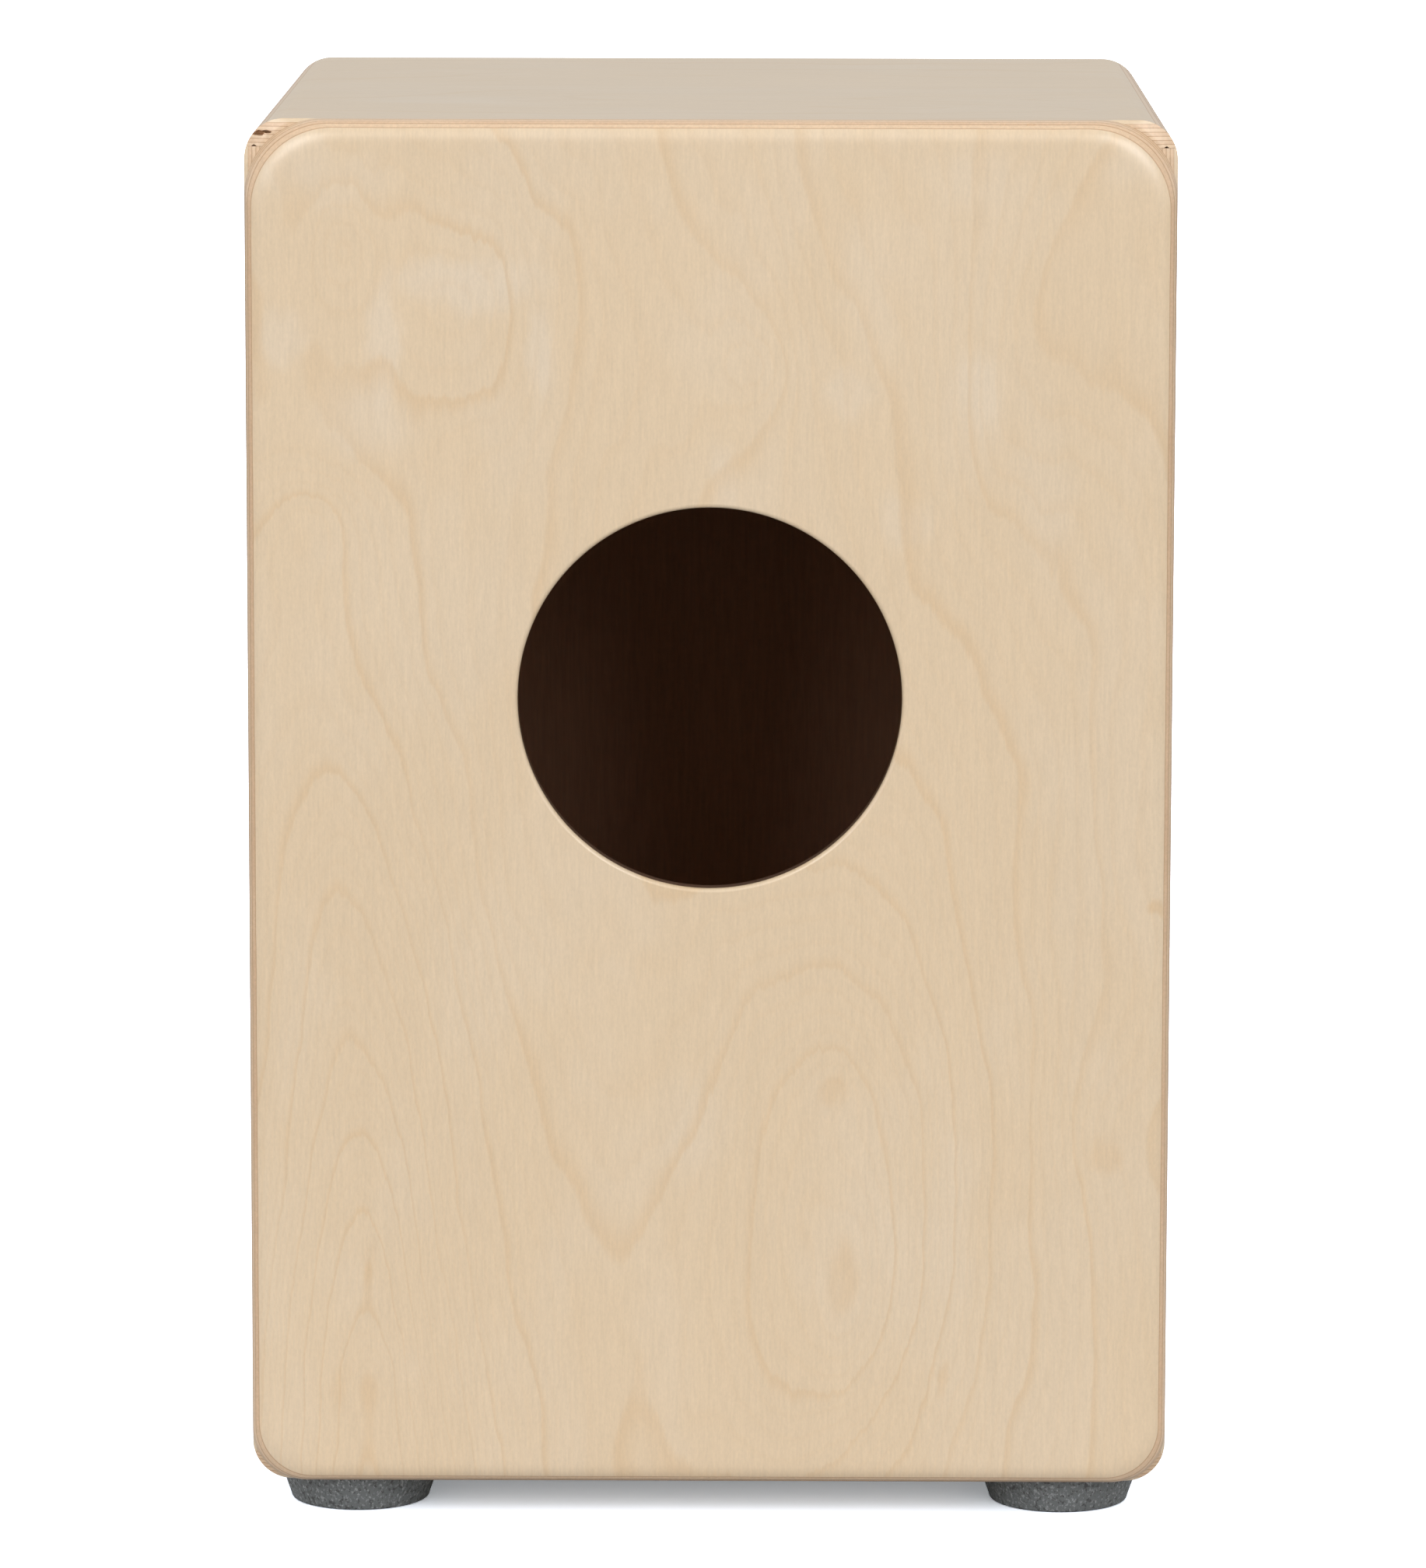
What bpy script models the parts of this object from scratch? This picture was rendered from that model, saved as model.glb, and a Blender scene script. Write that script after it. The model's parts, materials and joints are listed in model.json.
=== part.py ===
"""Cajon: a plywood box drum with a sound hole, rubber feet and a removable snare unit.

Metres, +Z up. The origin is on the floor under the middle of the box. The playing
face (tapa) looks along -Y and the sound hole opens towards +Y. Left is -X and right
is +X, as seen from in front of the playing face.
"""
import math

import bmesh
import bpy

# Driving dimensions of the box
WIDTH = 0.300
DEPTH = 0.300
BOX_HEIGHT = 0.448
FOOT_HEIGHT = 0.012
PANEL = 0.009            # top, bottom and side panels, seven-ply
REAR_PLY = 0.0065        # rear panel, five-ply
TAPA_PLY = 0.003         # playing face, three-ply
GAP = 0.0003             # left between neighbouring solids

# Rounding of the outside
CORNER_R = 0.013         # edges that run front to back
REAR_ROUND = 0.008       # round-over around the rear face
REAR_SQUARE = 2.6        # 2 is a quarter circle, more is squarer
REAR_SPREAD = 0.013      # growth of the corner radius over the rear round-over
REAR_HURRY = 14          # how early in the round-over that growth happens
LOW_SHARE = 0.35         # share of the growth that the two bottom corners get
FRONT_ROUND = 0.003
FRONT_SPREAD = 1.0
CORNER_STEPS = 8
ROUND_STEPS = 5
OVERSIZE = 0.004         # how far a blank stands past the outside before it is trimmed

# Sound hole
HOLE_R = 0.0622
HOLE_HEIGHT = 0.261      # centre above the underside of the box
HOLE_ROUND = 0.0015

# Inner frame
FRONT_BATTEN = 0.018
REAR_BATTEN = 0.012
CORNER_BLOCK = 0.018
BATTEN_BEVEL = 0.0008

# Rubber feet and their fasteners
FOOT_INSET = 0.034       # foot centre from the side of the box
FOOT_INSET_Y = 0.035     # foot centre from the front and rear
FOOT_TOP_R = 0.0265
FOOT_BASE_R = 0.0230
FOOT_EDGE = 0.0012
RECESS_R = 0.011
RECESS_DEPTH = 0.0065
WASHER_R = 0.009
WASHER_T = 0.0012
FOOT_SCREW_R = 0.0022
FOOT_SCREW_HEAD_R = 0.0045
FOOT_SCREW_HEAD_T = 0.0026
FOOT_SCREW_END = 0.0195  # height of the screw's point above the floor

# Countersunk screws that hold the tapa
TAPA_SCREW_R = 0.00175
TAPA_SCREW_HEAD_R = 0.0036
TAPA_SCREW_HEAD_T = 0.0022
TAPA_SCREW_LENGTH = 0.016
TAPA_SCREW_SINK = 0.0002
SCREW_POINT = 0.0025     # length of any screw's point
SIDE_SCREWS = 4
SIDE_SCREW_LOW = 0.086
SIDE_SCREW_PITCH = 0.100
ROW_SCREWS = (("left", -0.090), ("middle", 0.0), ("right", 0.090))

# Removable snare unit
BAR_LENGTH = 0.243
BAR_HEIGHT = 0.020
BAR_DEPTH = 0.018
BAR_LOW = 0.325          # underside of the crossbar above the floor
BAR_CLEAR = 0.0075       # crossbar to the back of the tapa
BAR_BEVEL = 0.003
SNARE_X = 0.062
SNARE_SPLAY = math.radians(8)
STRIP_WIDTH = 0.042
STRIP_HEIGHT = 0.010
STRIP_T = 0.001
STRAND_COUNT = 10
STRAND_PITCH = 0.0038
STRAND_R = 0.0008
STRAND_LENGTH = 0.088
STRAND_TIP_CLEAR = 0.0012  # strand centre at its tip to the back of the tapa
STRAND_ROOT = 0.0015       # length of strand held in its strip
PLATE_T = 0.0012
PLATE_HEIGHT = 0.0075
SNARE_SCREW_X = 0.014
SNARE_SCREW_R = 0.0014
SNARE_SCREW_HEAD_R = 0.0028
SNARE_SCREW_HEAD_T = 0.0016
SNARE_SCREW_LENGTH = 0.011
REST_WIDTH = 0.015
REST_HEIGHT = 0.015
REST_SETBACK = 0.002       # front of a rest to the back of the tapa
PAD_LENGTH = 0.010
PAD_T = 0.001              # each of the hook and loop halves
PAD_BEVEL = 0.0002

# Worked out from the above
BOX_LOW = FOOT_HEIGHT
BOX_TOP = FOOT_HEIGHT + BOX_HEIGHT
HALF_W = WIDTH / 2
REAR_Y = DEPTH / 2
FRONT_Y = -DEPTH / 2
SHELL_FRONT = FRONT_Y + TAPA_PLY + GAP     # front ends of the box panels and battens
SHELL_REAR = REAR_Y - REAR_PLY - GAP       # rear ends of the box panels and battens
INNER_X = HALF_W - PANEL - GAP             # what touches a side panel from inside
INNER_LOW = BOX_LOW + PANEL + GAP
INNER_TOP = BOX_TOP - PANEL - GAP
HOLE_Z = BOX_LOW + HOLE_HEIGHT
BAR_FRONT = FRONT_Y + TAPA_PLY + BAR_CLEAR
BAR_MID_Z = BAR_LOW + BAR_HEIGHT / 2
BAR_MID_Y = BAR_FRONT + BAR_DEPTH / 2
LOOP_LOW = BAR_LOW - GAP - PAD_T
HOOK_LOW = LOOP_LOW - GAP - PAD_T
REST_TOP = HOOK_LOW - GAP

SIDES = (("left", -1), ("right", 1))
ENDS = (("front", -1), ("rear", 1))
SCREW_STEPS = 12
HOLE_STEPS = 64
FOOT_STEPS = 32


def clear_scene():
    """Remove every object of the scene, so that a rerun starts empty."""
    for obj in list(bpy.data.objects):
        bpy.data.objects.remove(obj, do_unlink=True)


def new_collection(name, owner=None):
    """Return an empty collection, linked to another or to the scene's own."""
    old = bpy.data.collections.get(name)
    if old:
        bpy.data.collections.remove(old)
    collection = bpy.data.collections.new(name)
    (owner or bpy.context.scene.collection).children.link(collection)
    return collection


def new_material(name, colour, roughness, metallic=0.0):
    """Return a Principled material of one colour."""
    material = bpy.data.materials.new(name)
    material.use_nodes = True
    shader = material.node_tree.nodes["Principled BSDF"]
    shader.inputs["Base Color"].default_value = (*colour, 1.0)
    shader.inputs["Roughness"].default_value = roughness
    shader.inputs["Metallic"].default_value = metallic
    return material


clear_scene()
PARTS = new_collection("cajon")
CUTTERS = new_collection("cajon_cutters")
TAPA_BORES = new_collection("tapa_bores", CUTTERS)
BIRCH = (0.74, 0.58, 0.41)
PINE = (0.66, 0.50, 0.30)
BEECH = (0.60, 0.38, 0.22)
RUBBER = (0.09, 0.09, 0.09)
STEEL = (0.62, 0.62, 0.60)
FABRIC = (0.03, 0.03, 0.035)


def link_part(obj, colour, roughness, metallic=0.0, parent=None):
    """Put a finished piece in the object's collection, with a material of its own."""
    for owner in list(obj.users_collection):
        owner.objects.unlink(obj)
    PARTS.objects.link(obj)
    obj.data.materials.clear()
    obj.data.materials.append(new_material(obj.name + "_finish", colour, roughness, metallic))
    if parent:
        obj.parent = parent
        obj.location = [a - b for a, b in zip(obj.location, parent.location)]
    return obj


def make_cutter(obj, collection=CUTTERS):
    """Hide a cutting shape, and draw it as a wire."""
    for owner in list(obj.users_collection):
        owner.objects.unlink(obj)
    collection.objects.link(obj)
    obj.hide_render = True
    obj.display_type = "WIRE"
    return obj


def block(name, low, high):
    """Return a box between two corners, with its origin at its middle."""
    mesh = bpy.data.meshes.new(name)
    shape = bmesh.new()
    bmesh.ops.create_cube(shape, size=1.0)
    bmesh.ops.scale(shape, vec=[b - a for a, b in zip(low, high)], verts=shape.verts)
    shape.to_mesh(mesh)
    shape.free()
    obj = bpy.data.objects.new(name, mesh)
    obj.location = [(a + b) / 2 for a, b in zip(low, high)]
    bpy.context.scene.collection.objects.link(obj)
    return obj


def turned(name, profile, steps, closed=False):
    """Return a shape turned about its local Z from (radius, height) points."""
    count = len(profile)
    edges = [(i, i + 1) for i in range(count - 1)]
    if closed:
        edges.append((count - 1, 0))
    mesh = bpy.data.meshes.new(name)
    mesh.from_pydata([(radius, 0.0, height) for radius, height in profile], edges, [])
    obj = bpy.data.objects.new(name, mesh)
    bpy.context.scene.collection.objects.link(obj)
    screw = obj.modifiers.new("Turn", "SCREW")
    screw.axis = "Z"
    screw.steps = steps
    screw.render_steps = steps
    screw.use_merge_vertices = True
    screw.merge_threshold = 0.00001
    screw.use_smooth_shade = True
    return obj


def bevel(obj, width, segments=1):
    """Round every sharp edge of a piece."""
    modifier = obj.modifiers.new("Bevel", "BEVEL")
    modifier.width = width
    modifier.segments = segments
    modifier.limit_method = "ANGLE"
    return modifier


def combine(obj, other, operation):
    """Add a Boolean with another shape."""
    modifier = obj.modifiers.new(operation.title(), "BOOLEAN")
    modifier.operation = operation
    modifier.object = other
    modifier.solver = "EXACT"
    return modifier


def rounded_rectangle(inset, growth, y):
    """Return the points of the box's outline, drawn in by an inset, at one depth."""
    half_width = HALF_W - inset
    half_height = BOX_HEIGHT / 2 - inset
    centre_z = BOX_LOW + BOX_HEIGHT / 2
    points = []
    for quarter in range(4):
        side = 1 if quarter in (0, 3) else -1
        rise = 1 if quarter in (0, 1) else -1
        radius = CORNER_R + growth * (1 if rise > 0 else LOW_SHARE)
        for step in range(CORNER_STEPS + 1):
            angle = math.radians(90) * (quarter + step / CORNER_STEPS)
            x = side * (half_width - radius) + radius * math.cos(angle)
            z = centre_z + rise * (half_height - radius) + radius * math.sin(angle)
            points.append((x, y, z))
    return points


def outside_sections():
    """Yield the outline from the front face to the rear face, round-overs included."""
    for step in range(ROUND_STEPS + 1):
        angle = math.radians(90) * step / ROUND_STEPS
        inset = FRONT_ROUND * (1 - math.sin(angle))
        depth = FRONT_ROUND * (1 - math.cos(angle))
        yield rounded_rectangle(inset, FRONT_SPREAD * inset, FRONT_Y + depth)
    for step in range(ROUND_STEPS, -1, -1):
        angle = math.radians(90) * step / ROUND_STEPS
        inset = REAR_ROUND * (1 - math.sin(angle) ** (2 / REAR_SQUARE))
        fall = 1 - math.cos(angle) ** (2 / REAR_SQUARE)
        growth = REAR_SPREAD * (1 - fall ** REAR_HURRY)
        yield rounded_rectangle(inset, growth, REAR_Y - REAR_ROUND * fall)


def outside_form():
    """Return the whole outside as one solid, lofted through its unlike sections."""
    shape = bmesh.new()
    loops = [[shape.verts.new(point) for point in section] for section in outside_sections()]
    for near, far in zip(loops, loops[1:]):
        for i in range(len(near)):
            j = (i + 1) % len(near)
            shape.faces.new((near[i], near[j], far[j], far[i]))
    shape.faces.new(loops[0])
    shape.faces.new(loops[-1])
    bmesh.ops.recalc_face_normals(shape, faces=shape.faces)
    mesh = bpy.data.meshes.new("outside_form")
    shape.to_mesh(mesh)
    shape.free()
    return make_cutter(bpy.data.objects.new("outside_form", mesh))


def add_panel(name, low, high, outside, parent):
    """Make a plywood panel: a blank that is trimmed to the rounded outside."""
    panel = block(name, low, high)
    combine(panel, outside, "INTERSECT")
    return link_part(panel, BIRCH, 0.45, parent=parent)


def add_box_panels(outside, parent):
    """Make the top, bottom and side panels. The top and bottom cover the sides' ends."""
    past = HALF_W + OVERSIZE
    top = add_panel("top_panel", (-past, SHELL_FRONT, BOX_TOP - PANEL),
                    (past, SHELL_REAR, BOX_TOP + OVERSIZE), outside, parent)
    bottom = add_panel("bottom_panel", (-past, SHELL_FRONT, BOX_LOW - OVERSIZE),
                       (past, SHELL_REAR, BOX_LOW + PANEL), outside, parent)
    for side, sign in SIDES:
        x_range = sorted((sign * past, sign * (HALF_W - PANEL)))
        add_panel(f"side_panel_{side}", (x_range[0], SHELL_FRONT, INNER_LOW),
                  (x_range[1], SHELL_REAR, INNER_TOP), outside, parent)
    return top, bottom


def add_rear_panel(outside, parent):
    """Make the rear panel with its round sound hole, eased at the outer rim."""
    past = HALF_W + OVERSIZE
    panel = add_panel("rear_panel", (-past, REAR_Y - REAR_PLY, BOX_LOW - OVERSIZE),
                      (past, REAR_Y + OVERSIZE, BOX_TOP + OVERSIZE), outside, parent)
    profile = [(0.0, OVERSIZE), (HOLE_R + HOLE_ROUND, OVERSIZE)]
    for step in range(4):
        angle = math.radians(90) * step / 3
        profile.append((HOLE_R + HOLE_ROUND * (1 - math.sin(angle)), HOLE_ROUND * (math.cos(angle) - 1)))
    profile += [(HOLE_R, -REAR_PLY - OVERSIZE), (0.0, -REAR_PLY - OVERSIZE)]
    cutter = make_cutter(turned("sound_hole_cutter", profile, HOLE_STEPS))
    cutter.rotation_euler = (math.radians(-90), 0.0, 0.0)
    cutter.location = (0.0, REAR_Y, HOLE_Z)
    combine(panel, cutter, "DIFFERENCE")
    return panel


def add_frame(size, low_y, high_y, end, parent):
    """Make four battens around one end of the box: two across, and two uprights between them."""
    battens = {}
    for level, low_z in (("bottom", INNER_LOW), ("top", INNER_TOP - size)):
        battens[level] = block(f"{end}_batten_{level}", (-INNER_X, low_y, low_z),
                               (INNER_X, high_y, low_z + size))
    for side, sign in SIDES:
        x_range = sorted((sign * INNER_X, sign * (INNER_X - size)))
        battens[side] = block(f"{end}_batten_{side}", (x_range[0], low_y, INNER_LOW + size + GAP),
                              (x_range[1], high_y, INNER_TOP - size - GAP))
    for batten in battens.values():
        bevel(batten, BATTEN_BEVEL)
        link_part(batten, PINE, 0.6, parent=parent)
    return battens


def add_corner_blocks(parent):
    """Make the triangular glue blocks that run front to back in the four corners."""
    low_y = SHELL_FRONT + FRONT_BATTEN + GAP
    high_y = SHELL_REAR - REAR_BATTEN - GAP
    for level, rise, corner_z in (("bottom", 1, INNER_LOW), ("top", -1, INNER_TOP)):
        for side, sign in SIDES:
            curve = bpy.data.curves.new(f"corner_block_{level}_{side}", "CURVE")
            curve.dimensions = "2D"
            curve.fill_mode = "BOTH"
            curve.extrude = (high_y - low_y) / 2
            outline = curve.splines.new("POLY")
            outline.points.add(2)
            corners = ((0.0, 0.0), (-sign * CORNER_BLOCK, 0.0), (0.0, rise * CORNER_BLOCK))
            for point, (x, z) in zip(outline.points, corners):
                point.co = (x, z, 0.0, 1.0)
            outline.use_cyclic_u = True
            piece = bpy.data.objects.new(curve.name, curve)
            piece.rotation_euler = (math.radians(90), 0.0, 0.0)
            piece.location = (sign * INNER_X, (low_y + high_y) / 2, corner_z)
            link_part(piece, PINE, 0.6, parent=parent)


def countersunk_profile(margin, past):
    """Return a countersunk screw's profile, head up, grown by a margin and by a length past its head."""
    tip = TAPA_SCREW_LENGTH + margin
    profile = [(0.0, past), (TAPA_SCREW_HEAD_R + margin, past)]
    if past > 0:
        profile.append((TAPA_SCREW_HEAD_R + margin, 0.0))
    profile += [(TAPA_SCREW_R + margin, -TAPA_SCREW_HEAD_T - margin),
                (TAPA_SCREW_R + margin, SCREW_POINT - tip), (0.0, -tip)]
    return profile


def tapa_screw_places():
    """Yield (name, x, z, batten) for each screw around the tapa."""
    upright_x = INNER_X - FRONT_BATTEN / 2
    for side, sign in SIDES:
        for row in range(SIDE_SCREWS):
            yield f"{side}_{row + 1}", sign * upright_x, SIDE_SCREW_LOW + row * SIDE_SCREW_PITCH, side
    for level, z in (("bottom", INNER_LOW + FRONT_BATTEN / 2), ("top", INNER_TOP - FRONT_BATTEN / 2)):
        for place, x in ROW_SCREWS:
            yield f"{level}_{place}", x, z, level


def add_tapa(outside, battens, parent):
    """Make the playing face and the countersunk screws that hold it to the front battens."""
    past = HALF_W + OVERSIZE
    tapa = add_panel("tapa", (-past, FRONT_Y - OVERSIZE, BOX_LOW - OVERSIZE),
                     (past, FRONT_Y + TAPA_PLY, BOX_TOP + OVERSIZE), outside, parent)
    facing = (math.radians(90), 0.0, 0.0)
    for place, x, z, held_by in tapa_screw_places():
        screw = turned(f"tapa_screw_{place}", countersunk_profile(0.0, 0.0), SCREW_STEPS)
        bore = turned(f"tapa_bore_{place}", countersunk_profile(GAP, OVERSIZE), SCREW_STEPS)
        make_cutter(bore, TAPA_BORES)
        for obj in (screw, bore):
            obj.rotation_euler = facing
            obj.location = (x, FRONT_Y + TAPA_SCREW_SINK, z)
        combine(battens[held_by], bore, "DIFFERENCE")
        link_part(screw, STEEL, 0.35, 0.9, parent)
    drill = tapa.modifiers.new("Drill", "BOOLEAN")
    drill.operation = "DIFFERENCE"
    drill.operand_type = "COLLECTION"
    drill.collection = TAPA_BORES
    drill.solver = "EXACT"


def foot_profile():
    """Return a foot's section: tapered outside, eased base edge, recess and screw hole."""
    top = FOOT_HEIGHT - GAP
    hole = FOOT_SCREW_R + GAP
    profile = [(hole, top), (FOOT_TOP_R, top), (FOOT_BASE_R, FOOT_EDGE)]
    for step in (1, 2):
        angle = math.radians(45) * step
        profile.append((FOOT_BASE_R - FOOT_EDGE * (1 - math.cos(angle)), FOOT_EDGE * (1 - math.sin(angle))))
    profile += [(RECESS_R, 0.0), (RECESS_R, RECESS_DEPTH), (hole, RECESS_DEPTH)]
    return profile


def pan_profile(radius, head_r, head_t, length):
    """Return a round-headed screw's profile, head down at height 0 and point up."""
    return [(0.0, length), (radius, length - SCREW_POINT), (radius, head_t),
            (head_r, head_t), (head_r, 0.4 * head_t), (0.7 * head_r, 0.0), (0.0, 0.0)]


def add_feet(bottom, parent):
    """Make the four rubber feet, each held by a washer and a screw in its recess."""
    washer_low = RECESS_DEPTH - GAP - WASHER_T
    screw_low = washer_low - GAP - FOOT_SCREW_HEAD_T
    hole = FOOT_SCREW_R + GAP
    washer_profile = [(hole, washer_low + WASHER_T), (WASHER_R, washer_low + WASHER_T),
                      (WASHER_R, washer_low), (hole, washer_low)]
    screw_profile = pan_profile(FOOT_SCREW_R, FOOT_SCREW_HEAD_R, FOOT_SCREW_HEAD_T,
                                FOOT_SCREW_END - screw_low)
    bore_profile = [(0.0, FOOT_SCREW_END + GAP), (hole, FOOT_SCREW_END + GAP), (hole, 0.0), (0.0, 0.0)]
    for end, y_sign in ENDS:
        for side, x_sign in SIDES:
            place = (x_sign * (HALF_W - FOOT_INSET), y_sign * (REAR_Y - FOOT_INSET_Y), 0.0)
            foot = turned(f"foot_{end}_{side}", foot_profile(), FOOT_STEPS, closed=True)
            washer = turned(f"foot_washer_{end}_{side}", washer_profile, SCREW_STEPS * 2, closed=True)
            screw = turned(f"foot_screw_{end}_{side}", screw_profile, SCREW_STEPS)
            bore = make_cutter(turned(f"foot_bore_{end}_{side}", bore_profile, SCREW_STEPS))
            for obj in (foot, washer, bore):
                obj.location = place
            screw.location = (place[0], place[1], screw_low)
            combine(bottom, bore, "DIFFERENCE")
            link_part(foot, RUBBER, 0.85, parent=parent)
            link_part(washer, STEEL, 0.35, 0.9, parent)
            link_part(screw, STEEL, 0.35, 0.9, parent)


def add_pad(name, sign, low_z, parent):
    """Make one half of a hook-and-loop fastener, under the flat of the crossbar's end."""
    outer = BAR_LENGTH / 2 - BAR_BEVEL
    x_range = sorted((sign * outer, sign * (outer - PAD_LENGTH)))
    pad = block(name, (x_range[0], BAR_FRONT + BAR_BEVEL, low_z),
                (x_range[1], BAR_FRONT + BAR_DEPTH - BAR_BEVEL, low_z + PAD_T))
    bevel(pad, PAD_BEVEL)
    link_part(pad, FABRIC, 0.95, parent=parent)


def add_rests(parent):
    """Make the two blocks that carry the crossbar, each with a hook pad on top."""
    outer = INNER_X - FRONT_BATTEN - GAP
    for side, sign in SIDES:
        x_range = sorted((sign * outer, sign * (outer - REST_WIDTH)))
        rest = block(f"snare_rest_{side}", (x_range[0], SHELL_FRONT + REST_SETBACK, REST_TOP - REST_HEIGHT),
                     (x_range[1], BAR_FRONT + BAR_DEPTH, REST_TOP))
        bevel(rest, BATTEN_BEVEL)
        link_part(rest, BEECH, 0.55, parent=parent)
        add_pad(f"hook_pad_{side}", sign, HOOK_LOW, parent)


def strand_path(index, sign):
    """Return a strand's root and tip, measured from the middle of its strip's top front edge."""
    offset = (index - (STRAND_COUNT - 1) / 2) * STRAND_PITCH
    lean = BAR_CLEAR - GAP - STRIP_T - STRAND_TIP_CLEAR
    rise = math.sqrt(STRAND_LENGTH ** 2 - lean ** 2)
    tip = (offset + sign * rise * math.sin(SNARE_SPLAY), -lean, rise * math.cos(SNARE_SPLAY))
    root = [(offset if axis == 0 else 0.0) - (tip[axis] - (offset if axis == 0 else 0.0))
            * STRAND_ROOT / STRAND_LENGTH for axis in range(3)]
    return root, tip


def strands(side, sign, place):
    """Return one mesh object with all the strands of one side, as separate rods."""
    curve = bpy.data.curves.new(f"strand_curves_{side}", "CURVE")
    curve.dimensions = "3D"
    curve.bevel_depth = STRAND_R
    curve.bevel_resolution = 2
    curve.use_fill_caps = True
    for index in range(STRAND_COUNT):
        spline = curve.splines.new("POLY")
        spline.points.add(1)
        for point, where in zip(spline.points, strand_path(index, sign)):
            point.co = (*where, 1.0)
    source = bpy.data.objects.new(curve.name, curve)
    bpy.context.scene.collection.objects.link(source)
    bpy.context.view_layer.update()
    mesh = bpy.data.meshes.new_from_object(source.evaluated_get(bpy.context.evaluated_depsgraph_get()))
    bpy.data.objects.remove(source)
    shape = bmesh.new()
    shape.from_mesh(mesh)
    bmesh.ops.remove_doubles(shape, verts=shape.verts, dist=0.00001)
    bmesh.ops.recalc_face_normals(shape, faces=shape.faces)
    shape.to_mesh(mesh)
    shape.free()
    rods = make_cutter(bpy.data.objects.new(f"strand_rods_{side}", mesh))
    rods.location = place
    return rods


def add_snares(bar, unit):
    """Make both snares: a strip with its strands, a clamp plate and two screws each."""
    strip_rear = BAR_FRONT - GAP
    strip_front = strip_rear - STRIP_T
    plate_rear = strip_front - GAP
    plate_front = plate_rear - PLATE_T
    strip_low = BAR_MID_Z - STRIP_HEIGHT / 2
    plate_low = strip_low
    head_y = plate_front - GAP - SNARE_SCREW_HEAD_T
    profile = pan_profile(SNARE_SCREW_R, SNARE_SCREW_HEAD_R, SNARE_SCREW_HEAD_T, SNARE_SCREW_LENGTH)
    bore_profile = [(0.0, SNARE_SCREW_LENGTH + GAP), (SNARE_SCREW_R + GAP, SNARE_SCREW_LENGTH + GAP),
                    (SNARE_SCREW_R + GAP, SNARE_SCREW_HEAD_T), (0.0, SNARE_SCREW_HEAD_T)]
    for side, sign in SIDES:
        middle = sign * SNARE_X
        wires = block(f"snare_wires_{side}", (middle - STRIP_WIDTH / 2, strip_front, strip_low),
                      (middle + STRIP_WIDTH / 2, strip_rear, strip_low + STRIP_HEIGHT))
        rods = strands(side, sign, (middle, strip_front, strip_low + STRIP_HEIGHT))
        plate = block(f"snare_plate_{side}", (middle - STRIP_WIDTH / 2, plate_front, plate_low),
                      (middle + STRIP_WIDTH / 2, plate_rear, plate_low + PLATE_HEIGHT))
        combine(wires, rods, "UNION")
        for index, offset in enumerate((-SNARE_SCREW_X, SNARE_SCREW_X), start=1):
            screw = turned(f"snare_screw_{side}_{index}", profile, SCREW_STEPS)
            bore = make_cutter(turned(f"snare_bore_{side}_{index}", bore_profile, SCREW_STEPS))
            for obj in (screw, bore):
                obj.rotation_euler = (math.radians(-90), 0.0, 0.0)
                obj.location = (middle + offset, head_y, plate_low + PLATE_HEIGHT / 2)
            for piece in (bar, wires, plate):
                combine(piece, bore, "DIFFERENCE")
            link_part(screw, STEEL, 0.35, 0.9, unit)
        link_part(wires, STEEL, 0.3, 1.0, unit)
        link_part(plate, STEEL, 0.35, 0.9, unit)


def add_snare_unit():
    """Make the removable snare unit on an empty of its own, which slides towards the sound hole."""
    unit = bpy.data.objects.new("snare_unit", None)
    unit.location = (0.0, BAR_MID_Y, BAR_MID_Z)
    PARTS.objects.link(unit)
    bar = block("snare_crossbar", (-BAR_LENGTH / 2, BAR_FRONT, BAR_LOW),
                (BAR_LENGTH / 2, BAR_FRONT + BAR_DEPTH, BAR_LOW + BAR_HEIGHT))
    bevel(bar, BAR_BEVEL, 3)
    link_part(bar, BEECH, 0.5, parent=unit)
    add_snares(bar, unit)
    for side, sign in SIDES:
        add_pad(f"loop_pad_{side}", sign, LOOP_LOW, unit)


def main():
    """Build the whole cajon."""
    shell = bpy.data.objects.new("shell", None)
    PARTS.objects.link(shell)
    outside = outside_form()
    _, bottom = add_box_panels(outside, shell)
    add_rear_panel(outside, shell)
    front = add_frame(FRONT_BATTEN, SHELL_FRONT, SHELL_FRONT + FRONT_BATTEN, "front", shell)
    add_frame(REAR_BATTEN, SHELL_REAR - REAR_BATTEN, SHELL_REAR, "rear", shell)
    add_corner_blocks(shell)
    add_tapa(outside, front, shell)
    add_feet(bottom, shell)
    add_rests(shell)
    add_snare_unit()


main()
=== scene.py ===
"""Looks of a birch plywood cajon, seen from behind.

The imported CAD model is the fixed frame. Its outer panels, feet, fasteners and snare
unit are replaced here by finer meshes in the same places, and the inner frame keeps
its CAD shapes. Metres, +Z up; the sound hole looks along +Y and the tapa along -Y.
"""
import json
import math

import bmesh
import bpy
from mathutils import Matrix, Vector

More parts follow.
